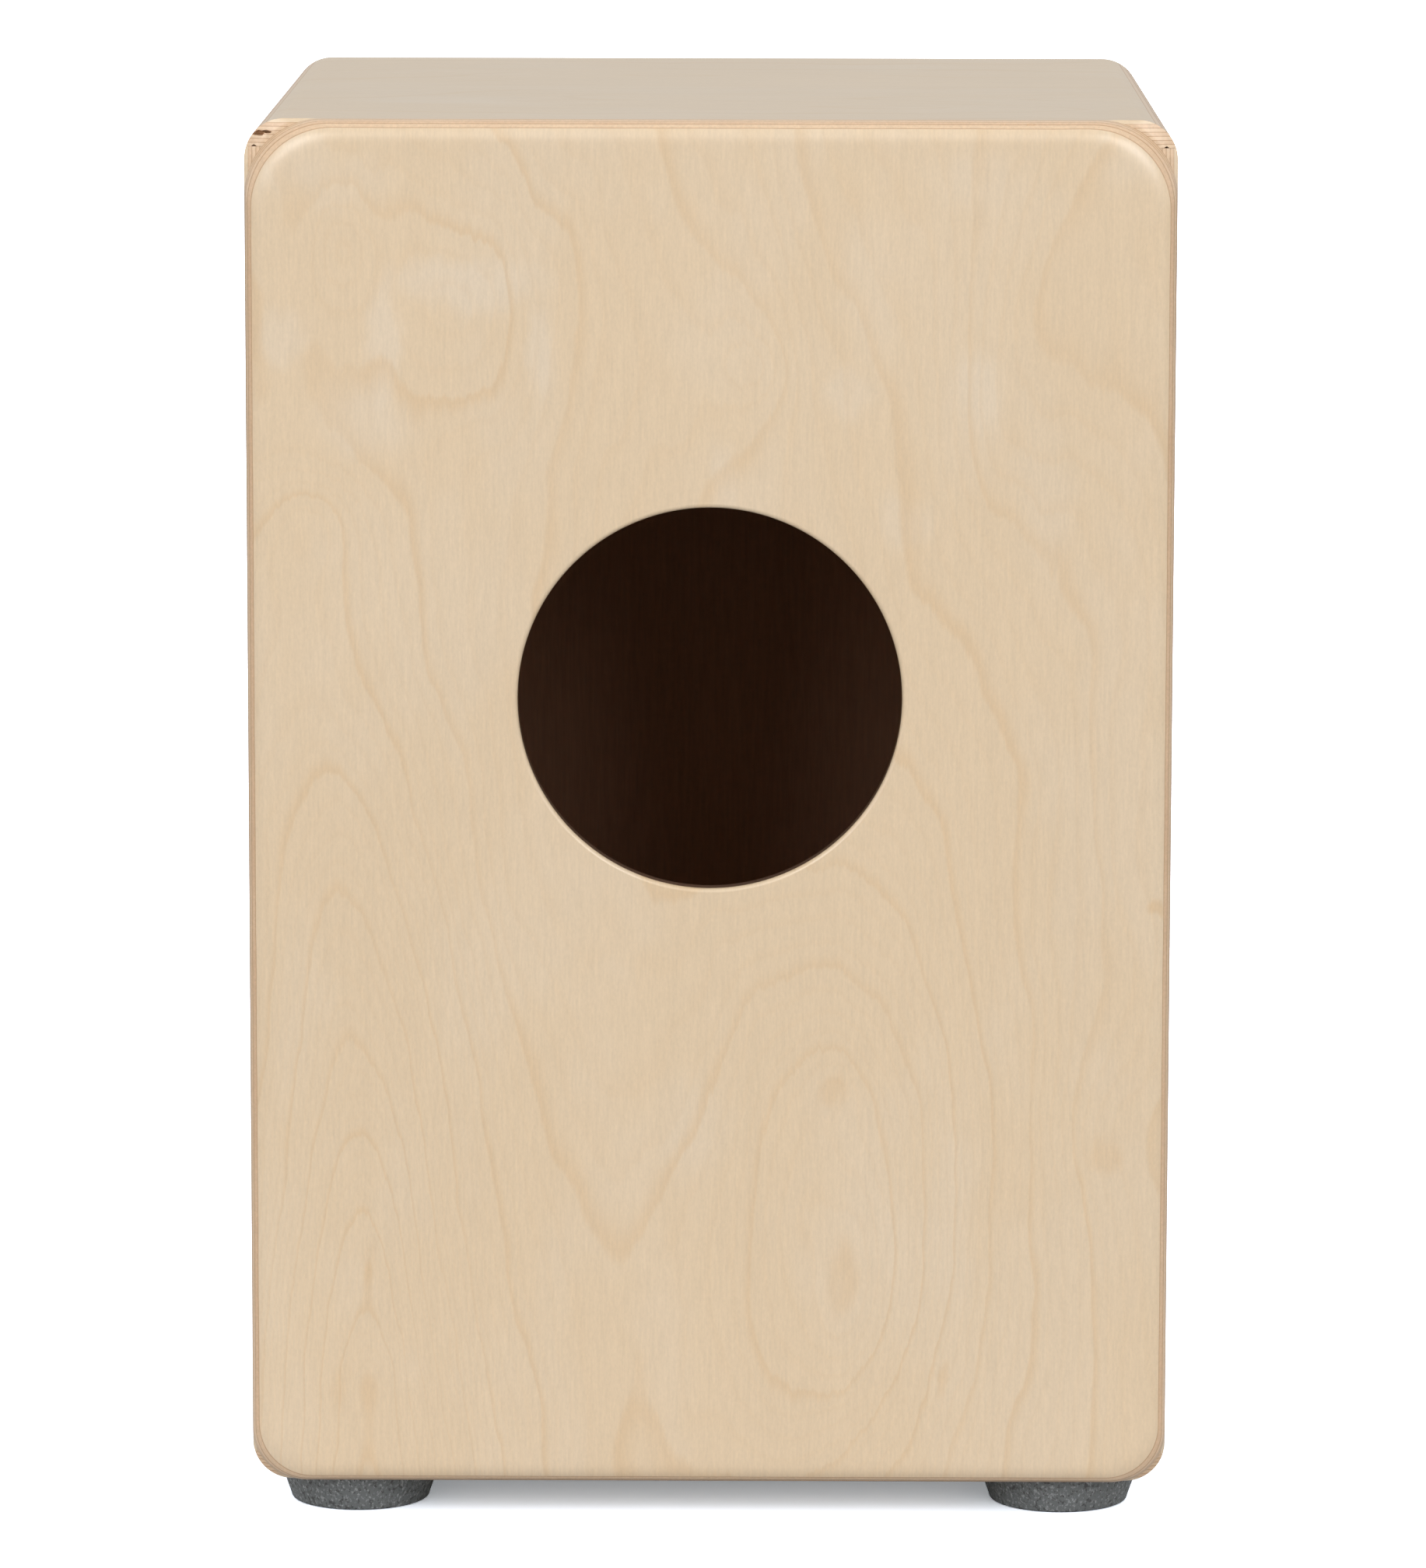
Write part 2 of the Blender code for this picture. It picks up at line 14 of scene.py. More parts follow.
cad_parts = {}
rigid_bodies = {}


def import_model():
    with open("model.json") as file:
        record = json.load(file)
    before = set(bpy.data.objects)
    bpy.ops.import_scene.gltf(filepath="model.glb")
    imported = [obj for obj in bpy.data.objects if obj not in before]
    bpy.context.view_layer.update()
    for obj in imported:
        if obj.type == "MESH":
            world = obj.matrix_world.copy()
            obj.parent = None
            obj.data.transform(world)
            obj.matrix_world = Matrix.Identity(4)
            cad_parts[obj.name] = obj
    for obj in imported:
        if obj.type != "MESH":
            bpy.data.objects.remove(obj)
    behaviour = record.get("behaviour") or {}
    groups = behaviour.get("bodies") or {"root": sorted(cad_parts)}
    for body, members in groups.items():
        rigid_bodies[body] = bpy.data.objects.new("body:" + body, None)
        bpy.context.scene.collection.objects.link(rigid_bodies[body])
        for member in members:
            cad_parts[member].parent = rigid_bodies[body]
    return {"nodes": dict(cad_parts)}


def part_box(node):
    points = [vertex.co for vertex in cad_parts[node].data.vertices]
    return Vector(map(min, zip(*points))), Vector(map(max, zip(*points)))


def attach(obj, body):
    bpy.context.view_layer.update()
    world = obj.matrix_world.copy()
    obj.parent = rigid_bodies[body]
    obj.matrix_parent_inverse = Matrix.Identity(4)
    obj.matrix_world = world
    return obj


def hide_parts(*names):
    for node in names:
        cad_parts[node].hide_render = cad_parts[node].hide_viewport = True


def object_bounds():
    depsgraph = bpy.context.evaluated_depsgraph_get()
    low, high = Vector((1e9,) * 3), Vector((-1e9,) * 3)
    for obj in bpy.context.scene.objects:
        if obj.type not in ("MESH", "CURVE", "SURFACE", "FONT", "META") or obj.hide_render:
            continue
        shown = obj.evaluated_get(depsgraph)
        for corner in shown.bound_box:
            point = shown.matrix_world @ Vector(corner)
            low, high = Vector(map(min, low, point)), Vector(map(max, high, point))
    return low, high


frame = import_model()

CAD_LOW, CAD_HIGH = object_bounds()

# Places and sizes read from the frame
HALF_W = CAD_HIGH.x
REAR_Y = CAD_HIGH.y
FRONT_Y = CAD_LOW.y
BOX_TOP = CAD_HIGH.z
BOX_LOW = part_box("bottom_panel")[0].z
BOX_HEIGHT = BOX_TOP - BOX_LOW
PANEL = BOX_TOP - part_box("top_panel")[0].z
REAR_PLY = REAR_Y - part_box("rear_panel")[0].y
TAPA_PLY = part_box("tapa")[1].y - FRONT_Y

# Shape of the outside, as in the CAD model
CORNER_R = 0.013
REAR_ROUND = 0.008
REAR_SQUARE = 2.6        # 2 is a quarter circle, more is squarer
REAR_SPREAD = 0.013      # growth of the corner radius over the rear round-over
REAR_HURRY = 14          # how early in the round-over that growth happens
LOW_SHARE = 0.35         # share of the growth that the two bottom corners get
FRONT_ROUND = 0.003
FRONT_SQUARE = 2.0
FRONT_SPREAD = 0.003
HOLE_R = 0.0622
HOLE_HEIGHT = 0.261
HOLE_ROUND = 0.0015
HOLE_Z = BOX_LOW + HOLE_HEIGHT

# Fineness of the meshes
CORNER_STEPS = 20
ROUND_STEPS = 28
HOLE_STEPS = 192
SEAM = 0.00006           # open joint between glued panels
OVERSIZE = 0.004
TINY = 0.000002

# Plywood
VENEER = 0.0013          # thickness of one ply in the 9 mm and 6.5 mm panels
TAPA_VENEER = TAPA_PLY / 3

SIDES = (("left", -1), ("right", 1))
LEVEL, DEEP, UPRIGHT = (1.0, 0.0, 0.0), (0.0, 1.0, 0.0), (0.0, 0.0, 1.0)


# ---- node helpers

class Graph:
    """Adds nodes to a tree. Every value may be a number, a tuple or a socket."""

    def __init__(self, tree):
        self.tree = tree

    def node(self, kind, **settings):
        """Add a node and set its properties."""
        node = self.tree.nodes.new(kind)
        for key, value in settings.items():
            setattr(node, key, value)
        return node

    def plug(self, socket, value):
        """Set an input to a constant, or link it."""
        if isinstance(value, bpy.types.NodeSocket):
            self.tree.links.new(value, socket)
        else:
            socket.default_value = value

    def math(self, operation, *values, clamp=False):
        """Return the result of a Math node."""
        node = self.node("ShaderNodeMath", operation=operation, use_clamp=clamp)
        for socket, value in zip(node.inputs, values):
            self.plug(socket, value)
        return node.outputs[0]

    def times(self, first, second, clamp=False):
        """Return a product."""
        return self.math("MULTIPLY", first, second, clamp=clamp)

    def linear(self, value, scale, start, clamp=False):
        """Return a value times a scale, plus a start."""
        return self.math("MULTIPLY_ADD", value, scale, start, clamp=clamp)

    def vector(self, operation, *values, out=0):
        """Return a result of a Vector Math node."""
        node = self.node("ShaderNodeVectorMath", operation=operation)
        for socket, value in zip(node.inputs, values):
            self.plug(socket, value)
        return node.outputs[out]

    def join(self, x, y):
        """Return a vector in the XY plane."""
        node = self.node("ShaderNodeCombineXYZ")
        self.plug(node.inputs[0], x)
        self.plug(node.inputs[1], y)
        return node.outputs[0]

    def step(self, value, low, high):
        """Return 0 below low, 1 above high and a smooth ramp between."""
        node = self.node("ShaderNodeMapRange", interpolation_type="SMOOTHSTEP")
        for socket, number in zip(node.inputs, (value, low, high, 0.0, 1.0)):
            self.plug(socket, number)
        return node.outputs[0]

    def noise(self, scale, detail=2.0, roughness=0.5, offset=(0.0, 0.0, 0.0), at=None):
        """Return fractal noise about 0 with a scale per axis, in cycles per metre."""
        place = self.vector("MULTIPLY_ADD", at or self.position, scale, offset)
        node = self.node("ShaderNodeTexNoise", noise_dimensions="3D")
        self.plug(node.inputs["Vector"], place)
        node.inputs["Scale"].default_value = 1.0
        node.inputs["Detail"].default_value = detail
        node.inputs["Roughness"].default_value = roughness
        return self.math("SUBTRACT", node.outputs["Fac"], 0.5)

    def mix(self, factor, first, second):
        """Return a mix of two colours."""
        node = self.node("ShaderNodeMix", data_type="RGBA")
        self.plug(node.inputs[0], factor)
        self.plug(node.inputs[6], as_colour(first))
        self.plug(node.inputs[7], as_colour(second))
        return node.outputs[2]

    def scaled(self, colour, scale):
        """Return a colour times a number."""
        node = self.node("ShaderNodeVectorMath", operation="SCALE")
        self.plug(node.inputs[0], as_vector(colour))
        self.plug(node.inputs["Scale"], scale)
        return node.outputs[0]

    def camera_choice(self, elsewhere, seen, output):
        """Use one shader where the camera sees it and another for all other light."""
        choose = self.node("ShaderNodeMixShader")
        self.plug(choose.inputs[0], self.node("ShaderNodeLightPath").outputs["Is Camera Ray"])
        self.plug(choose.inputs[1], elsewhere.outputs[0])
        self.plug(choose.inputs[2], seen.outputs[0])
        self.plug(self.node(output).inputs[0], choose.outputs[0])

    def bump(self, height, strength, distance):
        """Return a bumped normal."""
        node = self.node("ShaderNodeBump")
        node.inputs["Strength"].default_value = strength
        node.inputs["Distance"].default_value = distance
        self.plug(node.inputs["Height"], height)
        return node.outputs["Normal"]


class Surface(Graph):
    """A material with one Principled shader, drawn in the object's own coordinates."""

    def __init__(self, name):
        self.material = bpy.data.materials.new(name)
        self.material.use_nodes = True
        super().__init__(self.material.node_tree)
        self.shader = self.tree.nodes["Principled BSDF"]
        self.position = self.node("ShaderNodeTexCoord").outputs["Object"]

    def finish(self, colour, roughness, normal=None, **constants):
        """Connect the shader and return the material."""
        self.plug(self.shader.inputs["Base Color"], as_colour(colour))
        self.plug(self.shader.inputs["Roughness"], roughness)
        if normal:
            self.plug(self.shader.inputs["Normal"], normal)
        for key, value in constants.items():
            self.shader.inputs[key.replace("_", " ")].default_value = value
        return self.material


def as_colour(value):
    """Give a plain colour its alpha."""
    return (*value, 1.0) if isinstance(value, tuple) and len(value) == 3 else value


def as_vector(value):
    """Drop a plain colour's alpha."""
    return value[:3] if isinstance(value, tuple) else value


# ---- plywood

BIRCH = (0.800, 0.626, 0.430)
BIRCH_PALE = (0.812, 0.668, 0.502)
BIRCH_LINE = (0.745, 0.525, 0.305)
PLY_LONG = (0.785, 0.578, 0.385)         # plies cut along their grain
PLY_END = (0.705, 0.480, 0.300)          # plies cut across their grain
GLUE = (0.470, 0.250, 0.125)
INNER_FACE = (0.490, 0.270, 0.150)
# near black, for the wall of the sound hole
HOLE_WALL = (0.120, 0.062, 0.034)

# How strongly each part of the figure shows
FIBRE_TONE = 0.15
SPECK_TONE = 0.11
STREAK_TONE = 0.045
CLOUD_TONE = 0.05
CLOUDY_PALE = 0.36
PALE_SHARE = 0.95
GLUE_SHARE = 0.74
END_SHARE = 0.75


def grain_scale(across, along, across_rate, along_rate):
    """Return cycles per metre per axis, for rates across and along the grain."""
    return tuple(abs(a) * across_rate + abs(b) * along_rate for a, b in zip(across, along))


def ellipse_distance(g, plane, across, along, width, length):
    """Return the distance from a point, measured in half-widths and half-lengths."""
    rates = (1.0 / width, 1.0 / length, 0.0)
    start = (-across / width, -along / length, 0.0)
    return g.vector("LENGTH", g.vector("MULTIPLY_ADD", plane, rates, start), out=1)


def growth_field(g, u, v, slope, hills, ridges):
    """Return the height field whose contours are the growth lines of a rotary-cut veneer.

    A hill is (across, along, half width, half length, height, lean). A ridge starts at its
    top and rises steadily below it: (across, top, half width, rise per metre, lean). Lean
    is the sideways shift per metre below the given point.
    """
    field = g.times(u, slope)
    for across, along, width, length, height, lean in hills:
        leaning = g.linear(v, lean, u) if lean else u
        plane = g.join(leaning, v)
        away = ellipse_distance(g, plane, across + lean * along, along, width, length)
        fall = g.linear(away, away, 1.0)
        field = g.math("ADD", field, g.math("DIVIDE", height, fall))
    for across, top, width, rise, lean in ridges:
        leaning = g.linear(v, lean, u)
        away = g.math("DIVIDE", g.math("SUBTRACT", leaning, across + lean * top), width)
        below = g.math("MAXIMUM", g.math("SUBTRACT", top, v), 0.0)
        fall = g.linear(away, away, 1.0)
        field = g.math("ADD", field, g.math("DIVIDE", g.times(below, rise), fall))
    return field


def contour(g, field, rate, start, peak):
    """Return thin lines that darken slowly and end sharply, like the late wood of a ring."""
    turn = g.math("FRACT", g.times(field, rate))
    rise = g.step(turn, start, peak)
    drop = g.math("SUBTRACT", 1.0, g.step(turn, peak, 1.0))
    return g.times(g.times(rise, rise), drop)


def patches(g, u, v, places):
    """Return soft patches: across, along, half width, half length, amount."""
    plane = g.join(u, v)
    total = 0.0
    for across, along, width, length, amount in places:
        away = ellipse_distance(g, plane, across, along, width, length)
        inside = g.math("SUBTRACT", 1.0, g.step(away, 0.35, 1.25))
        total = g.linear(inside, amount, total)
    return total


def wood_figure(g, across, along, seed, figure):
    """Return (tone, line, whiter, fibre): the look of a birch veneer.

    Noise bends the position first, so that no growth line or patch has a clean outline.
    """
    shift = (seed, seed * 1.7, seed * 0.3)

    def noise(across_rate, along_rate, detail=2.0, roughness=0.5, extra=0.0):
        return g.noise(grain_scale(across, along, across_rate, along_rate), detail, roughness,
                       tuple(part + extra for part in shift))

    u = g.vector("DOT_PRODUCT", g.position, across, out=1)
    v = g.vector("DOT_PRODUCT", g.position, along, out=1)
    fringe = g.linear(noise(620.0, 30.0, 3.0, 0.65, 2.0), 0.007, v)
    rough_u = g.linear(noise(120.0, 50.0, 2.0, 0.5, 6.0), 0.0035, u)
    field = growth_field(g, rough_u, fringe, figure["slope"], figure["hills"], figure["ridges"])
    field = g.linear(noise(20.0, 8.0, 2.0, 0.45, 4.0), 1.5, field)
    field = g.linear(noise(90.0, 34.0, 2.0, 0.5, 8.0), 0.16, field)
    broad = g.step(noise(26.0, 9.0, 2.0, 0.5, 9.0), -0.22, 0.12)
    main_share = g.linear(broad, 0.7, 0.3)
    fine_share = g.linear(broad, -0.14, 0.34)
    main_line = g.times(contour(g, field, 1.0, 0.76, 0.95), main_share)
    fine_line = g.times(contour(g, field, 4.0, 0.40, 0.90), fine_share)
    line = g.math("ADD", main_line, fine_line)
    warp_u = g.linear(noise(60.0, 40.0, 3.0, 0.55, 1.0), 0.016, u)
    warp_v = g.linear(noise(90.0, 40.0, 3.0, 0.55, 3.0), 0.018, v)
    line = g.math("ADD", line, patches(g, warp_u, warp_v, figure["stains"]))
    cloudy = g.step(noise(24.0, 12.0, 3.0, 0.55, 1.0), -0.02, 0.16)
    # whiter: pale clouds and pale patches of the veneer; on the rear panel two of the patches are also
    # painted highlight at the upper corners
    whiter = g.linear(cloudy, CLOUDY_PALE, patches(g, warp_u, warp_v, figure["pale"]))
    fibre = noise(1300.0, 110.0, 2.0, 0.65)
    speck = noise(1700.0, 800.0, 1.0, 0.5)
    streak = noise(260.0, 9.0, 3.0, 0.55)
    cloud = noise(17.0, 7.0, 2.0, 0.5, 5.0)
    tone = g.times(fibre, FIBRE_TONE)
    for part, share in ((speck, SPECK_TONE), (streak, STREAK_TONE), (cloud, CLOUD_TONE)):
        tone = g.linear(part, share, tone)
    return tone, line, whiter, fibre


def plywood(name, depth_axis, face_at, sign, veneer, across, along, seed, figure, mirrored=False):
    """Return a plywood material whose plies follow the depth below the outer face.

    A cut shows every second ply as end grain and the others as long grain.
    """
    g = Surface(name)
    parts = g.node("ShaderNodeSeparateXYZ")
    g.plug(parts.inputs[0], g.position)
    coordinate = parts.outputs["XYZ".index(depth_axis)]
    if mirrored:
        coordinate = g.math("ABSOLUTE", coordinate)
    depth = g.times(g.math("SUBTRACT", face_at, coordinate), float(sign))
    tone, line, whiter, fibre = wood_figure(g, across, along, seed, figure)
    face = g.mix(g.times(whiter, PALE_SHARE, clamp=True), BIRCH, BIRCH_PALE)
    face = g.mix(g.times(line, figure["strength"], clamp=True), face, BIRCH_LINE)
    face = g.scaled(face, g.math("ADD", 1.0, tone))

    facing = g.node("ShaderNodeNewGeometry").outputs["Normal"]
    along_part = g.math("ABSOLUTE", g.vector("DOT_PRODUCT", facing, along, out=1))
    across_part = g.math("ABSOLUTE", g.vector("DOT_PRODUCT", facing, across, out=1))
    total = g.math("ADD", g.math("ADD", along_part, across_part), 0.05)
    waver = g.times(g.noise((70.0, 70.0, 70.0), 2.0, 0.5), 0.14)
    layer = g.math("ADD", g.math("DIVIDE", depth, veneer), waver)
    turn = g.math("FRACT", g.times(layer, 0.5))
    first_again = g.step(turn, 0.97, 1.0)
    second = g.times(g.step(turn, 0.47, 0.53), g.math("SUBTRACT", 1.0, first_again))
    across_end = g.math("DIVIDE", across_part, total)
    along_end = g.math("DIVIDE", along_part, total)
    end = g.linear(second, g.math("SUBTRACT", across_end, along_end), along_end)
    off = g.math("ABSOLUTE", g.math("SUBTRACT", g.math("FRACT", layer), 0.5))
    glue = g.step(off, 0.32, 0.48)
    speck = g.noise((900.0, 900.0, 900.0), 2.0, 0.7)
    drift = g.noise((45.0, 45.0, 45.0), 2.0, 0.5, (seed, seed, seed))
    darker = g.linear(drift, 1.2, g.times(end, END_SHARE), clamp=True)
    edge = g.mix(darker, PLY_LONG, PLY_END)
    edge = g.mix(g.times(glue, GLUE_SHARE), edge, GLUE)
    edge = g.scaled(edge, g.linear(speck, 0.35, 1.0))
    inside = g.step(layer, 0.94, 1.04)
    colour = g.mix(inside, face, edge)
    roughness = g.linear(inside, 0.12, g.linear(fibre, 0.10, 0.42))
    height = g.math("SUBTRACT", g.linear(fibre, 0.7, g.times(speck, inside)), g.times(glue, inside))
    normal = g.bump(height, 0.10, 0.0002)
    return g.finish(colour, roughness, normal, Coat_Weight=0.90, Coat_Roughness=0.24)


# ---- mesh helpers

def add_object(name, mesh):
    """Link a mesh as an object at the origin."""
    obj = bpy.data.objects.new(name, mesh)
    bpy.context.scene.collection.objects.link(obj)
    return obj


def finished(name, shape):
    """Turn a bmesh into an object."""
    mesh = bpy.data.meshes.new(name)
    shape.to_mesh(mesh)
    shape.free()
    return add_object(name, mesh)


def block(name, low, high):
    """Return a box between two corners, with its vertices in place."""
    shape = bmesh.new()
    bmesh.ops.create_cube(shape, size=1.0)
    bmesh.ops.scale(shape, vec=[b - a for a, b in zip(low, high)], verts=shape.verts)
    bmesh.ops.translate(shape, vec=[(a + b) / 2 for a, b in zip(low, high)], verts=shape.verts)
    return finished(name, shape)


def loft(name, loops):
    """Return a closed mesh object through loops of points."""
    shape = bmesh.new()
    rings = [[shape.verts.new(point) for point in loop] for loop in loops]
    for near, far in zip(rings, rings[1:]):
        for i in range(len(near)):
            j = (i + 1) % len(near)
            shape.faces.new((near[i], near[j], far[j], far[i]))
    shape.faces.new(rings[0])
    shape.faces.new(rings[-1])
    bmesh.ops.recalc_face_normals(shape, faces=shape.faces)
    return finished(name, shape)


def turned(name, profile, steps, matrix=Matrix.Identity(4), closed=False):
    """Return a shape turned about Z from (radius, height) points, then placed by a matrix."""
    shape = bmesh.new()
    rings = []
    for radius, height in profile:
        if radius < TINY:
            rings.append([shape.verts.new((0.0, 0.0, height))])
        else:
            rings.append([shape.verts.new((radius * math.cos(math.tau * i / steps),
                                           radius * math.sin(math.tau * i / steps), height))
                          for i in range(steps)])
    pairs = list(zip(rings, rings[1:]))
    if closed:
        pairs.append((rings[-1], rings[0]))
    for upper, lower in pairs:
        for i in range(steps):
            j = (i + 1) % steps
            corners = [upper[i % len(upper)], upper[j % len(upper)],
                       lower[j % len(lower)], lower[i % len(lower)]]
            shape.faces.new(list(dict.fromkeys(corners)))
    bmesh.ops.recalc_face_normals(shape, faces=shape.faces)
    shape.transform(matrix)
    return finished(name, shape)


def arc(centre, radius, start, end, steps):
    """Return points along an arc, angles in degrees."""
    points = []
    for i in range(steps + 1):
        angle = math.radians(start + (end - start) * i / steps)
        points.append((centre[0] + radius * math.cos(angle), centre[1] + radius * math.sin(angle)))
    return points


def combine(obj, other, operation):
    """Add a Boolean with an object or a collection."""
    modifier = obj.modifiers.new("Combine", "BOOLEAN")
    modifier.operation = operation
    modifier.solver = "EXACT"
    if isinstance(other, bpy.types.Collection):
        modifier.operand_type = "COLLECTION"
        modifier.collection = other
    else:
        modifier.object = other


def bake(obj, *tools):
    """Apply an object's modifiers, and remove the shapes that they used."""
    bpy.context.view_layer.update()
    depsgraph = bpy.context.evaluated_depsgraph_get()
    mesh = bpy.data.meshes.new_from_object(obj.evaluated_get(depsgraph))
    obj.modifiers.clear()
    obj.data = mesh
    mesh.name = obj.name
    for tool in tools:
        bpy.data.objects.remove(tool)
    return obj


def cut(obj, *tools):
    """Cut shapes out of a piece and bake it."""
    for tool in tools:
        combine(obj, tool, "DIFFERENCE")
    return bake(obj, *tools)


def soften(mesh, angle):
    """Clean a mesh and shade it smooth, sharp past an angle."""
    shape = bmesh.new()
    shape.from_mesh(mesh)
    bmesh.ops.remove_doubles(shape, verts=shape.verts, dist=TINY)
    bmesh.ops.dissolve_degenerate(shape, edges=shape.edges, dist=TINY)
    shape.to_mesh(mesh)
    shape.free()
    mesh.shade_smooth()
    mesh.set_sharp_from_angle(angle=math.radians(angle))


def keep_flat(obj):
    """Weigh the normals by face, so that flat faces stay flat beside round ones."""
    weighted = obj.modifiers.new("Weighted", "WEIGHTED_NORMAL")
    weighted.keep_sharp = True
    weighted.weight = 100
    return obj


def smooth(obj, angle=32.0):
    """Soften a piece's own mesh and keep its flat faces flat."""
    soften(obj.data, angle)
    return keep_flat(obj)


def bevel(obj, width, segments=3):
    """Round the sharp edges of a piece."""
    modifier = obj.modifiers.new("Bevel", "BEVEL")
    modifier.width = width
    modifier.segments = segments
    modifier.limit_method = "ANGLE"
    return obj


def dress(obj, material, nodes, body="shell"):
    """Give a finished piece its material and its body, and hide the CAD nodes that it stands for."""
    obj.data.materials.clear()
    obj.data.materials.append(material)
    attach(obj, body)
    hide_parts(*nodes)
    return obj


# ---- bores in the tapa

TAPA_HEAD_R = 0.0036
TAPA_HEAD_T = 0.0022
TAPA_SHANK_R = 0.00175
BORE_CLEAR = 0.00008
SCREW_STEPS = 64


def nodes_named(start):
    """Return the names of the frame's nodes that have this start, in order."""
    return sorted(name for name in frame["nodes"] if name.startswith(start))


def tapa_bore(low, high):
    """Return the shape that a tapa screw with this box leaves in the tapa."""
    wide = TAPA_HEAD_R + BORE_CLEAR
    narrow = TAPA_SHANK_R + BORE_CLEAR
    profile = [(0.0, OVERSIZE), (wide, OVERSIZE), (wide, 0.0), (narrow, -TAPA_HEAD_T),
               (narrow, -OVERSIZE), (0.0, -OVERSIZE)]
    place = Matrix.Translation(((low.x + high.x) / 2, low.y, (low.z + high.z) / 2))
    return turned("tapa_bore", profile, SCREW_STEPS, place @ Matrix.Rotation(math.radians(90), 4, "X"))


# ---- panels

def outline(inset, growth, y):
    """Return the rounded outline of the box at one depth, drawn in by an inset."""
    half_width = HALF_W - inset
    half_height = BOX_HEIGHT / 2 - inset
    middle = BOX_LOW + BOX_HEIGHT / 2
    points = []
    for quarter in range(4):
        radius = CORNER_R + growth * (1.0 if quarter in (0, 1) else LOW_SHARE)
        centre = ((half_width - radius) * (1 if quarter in (0, 3) else -1),
                  middle + (half_height - radius) * (1 if quarter in (0, 1) else -1))
        turns = arc(centre, radius, 90 * quarter, 90 * quarter + 90, CORNER_STEPS)
        points += [(x, y, z) for x, z in turns]
    return points


def round_loops(size, square, spread, hurry, face_y, inward):
    """Return the outlines of one round-over, from the face to the full width of the box."""
    loops = []
    for step in range(ROUND_STEPS + 1):
        fall = (step / ROUND_STEPS) ** 2
        inset = size * (1 - (1 - (1 - fall) ** square) ** (1 / square))
        loops.append(outline(inset, spread * (1 - fall ** hurry), face_y + inward * size * fall))
    return loops


def outside_form():
    """Return the rounded outside of the box as one solid."""
    front = round_loops(FRONT_ROUND, FRONT_SQUARE, FRONT_SPREAD, 1, FRONT_Y, 1)
    rear = round_loops(REAR_ROUND, REAR_SQUARE, REAR_SPREAD, REAR_HURRY, REAR_Y, -1)
    return loft("outside_form", front + rear[::-1])


def make_panel(name, low, high, outside):
    """Return a blank trimmed to the rounded outside."""
    panel = block(name, low, high)
    combine(panel, outside, "INTERSECT")
    return panel


# Figures of the veneers: growth_field and patches say what the numbers in a row are
REAR_FIGURE = {
    "strength": 0.42,
    "slope": 16.0,
    "ridges": ((0.125, 0.350, 0.030, 25.0, -0.045),),
    "hills": (
        (0.110, 0.048, 0.011, 0.017, 0.9, 0.0),
        (0.111, 0.086, 0.005, 0.012, 0.8, 0.0),
        (-0.050, 0.072, 0.030, 0.055, 2.6, 0.10),
        (-0.036, 0.120, 0.050, 0.130, 3.6, 0.16),
        (-0.042, 0.146, 0.010, 0.012, 0.6, 0.0),
        (0.080, 0.400, 0.030, 0.040, 1.9, 0.0),
        (0.128, 0.330, 0.020, 0.022, 1.3, 0.0),
        (0.118, 0.418, 0.010, 0.016, 1.0, 0.0),
        (-0.013, 0.381, 0.012, 0.012, 0.9, 0.0),
        (-0.105, 0.390, 0.024, 0.060, -1.1, 0.15),
        (-0.130, 0.130, 0.022, 0.030, -0.9, 0.0),
    ),
    "stains": (
        (-0.041, 0.145, 0.007, 0.006, 0.9),
        (-0.131, 0.122, 0.006, 0.008, 0.8),
        (-0.078, 0.046, 0.002, 0.008, 1.0),
        (0.111, 0.085, 0.003, 0.008, 0.5),
        (0.120, 0.045, 0.003, 0.008, 0.6),
        (-0.1465, 0.2035, 0.0028, 0.0036, 1.4),
    ),
    "pale": (
        (0.1055, 0.389, 0.007, 0.022, 0.9),
        (0.079, 0.407, 0.026, 0.010, 0.9),
        (0.055, 0.384, 0.006, 0.016, 0.8),
        (0.111, 0.363, 0.018, 0.014, 0.8),
        (0.137, 0.391, 0.010, 0.009, 0.7),
        (-0.001, 0.390, 0.020, 0.022, 0.35),
        (-0.004, 0.347, 0.006, 0.014, 0.5),
        (-0.061, 0.331, 0.009, 0.010, 0.6),
        (-0.108, 0.337, 0.012, 0.024, 0.45),
        (0.005, 0.134, 0.014, 0.018, 0.35),
        (-0.050, 0.085, 0.020, 0.040, 0.35),
        (-0.078, 0.100, 0.008, 0.035, 0.3),
        # Painted highlight, partly also paler sanded veneer: the next two patches whiten the upper
        # corners, where the varnish shows a bright highlight
        (-0.136, 0.449, 0.013, 0.012, 0.5),
        (0.136, 0.449, 0.013, 0.012, 0.5),
        (-0.052, 0.405, 0.010, 0.030, 0.5),
        (-0.085, 0.372, 0.008, 0.016, 0.6),
        (-0.044, 0.372, 0.008, 0.010, 0.6),
        (-0.085, 0.440, 0.016, 0.012, 0.4),
        (0.120, 0.440, 0.022, 0.010, 0.4),
    ),
}
TAPA_FIGURE = {
    "strength": 0.45,
    "slope": 12.0,
    "ridges": ((0.030, 0.420, 0.030, 18.0, 0.03), (-0.100, 0.260, 0.024, 20.0, -0.02)),
    "hills": ((0.020, 0.120, 0.030, 0.060, 2.2, 0.08), (-0.080, 0.380, 0.028, 0.050, 2.4, 0.0),
              (0.110, 0.250, 0.020, 0.080, -2.2, 0.05)),
    "stains": ((0.070, 0.330, 0.003, 0.009, 0.7),),
    "pale": ((-0.050, 0.320, 0.020, 0.030, 0.6), (0.090, 0.150, 0.018, 0.035, 0.5)),
}
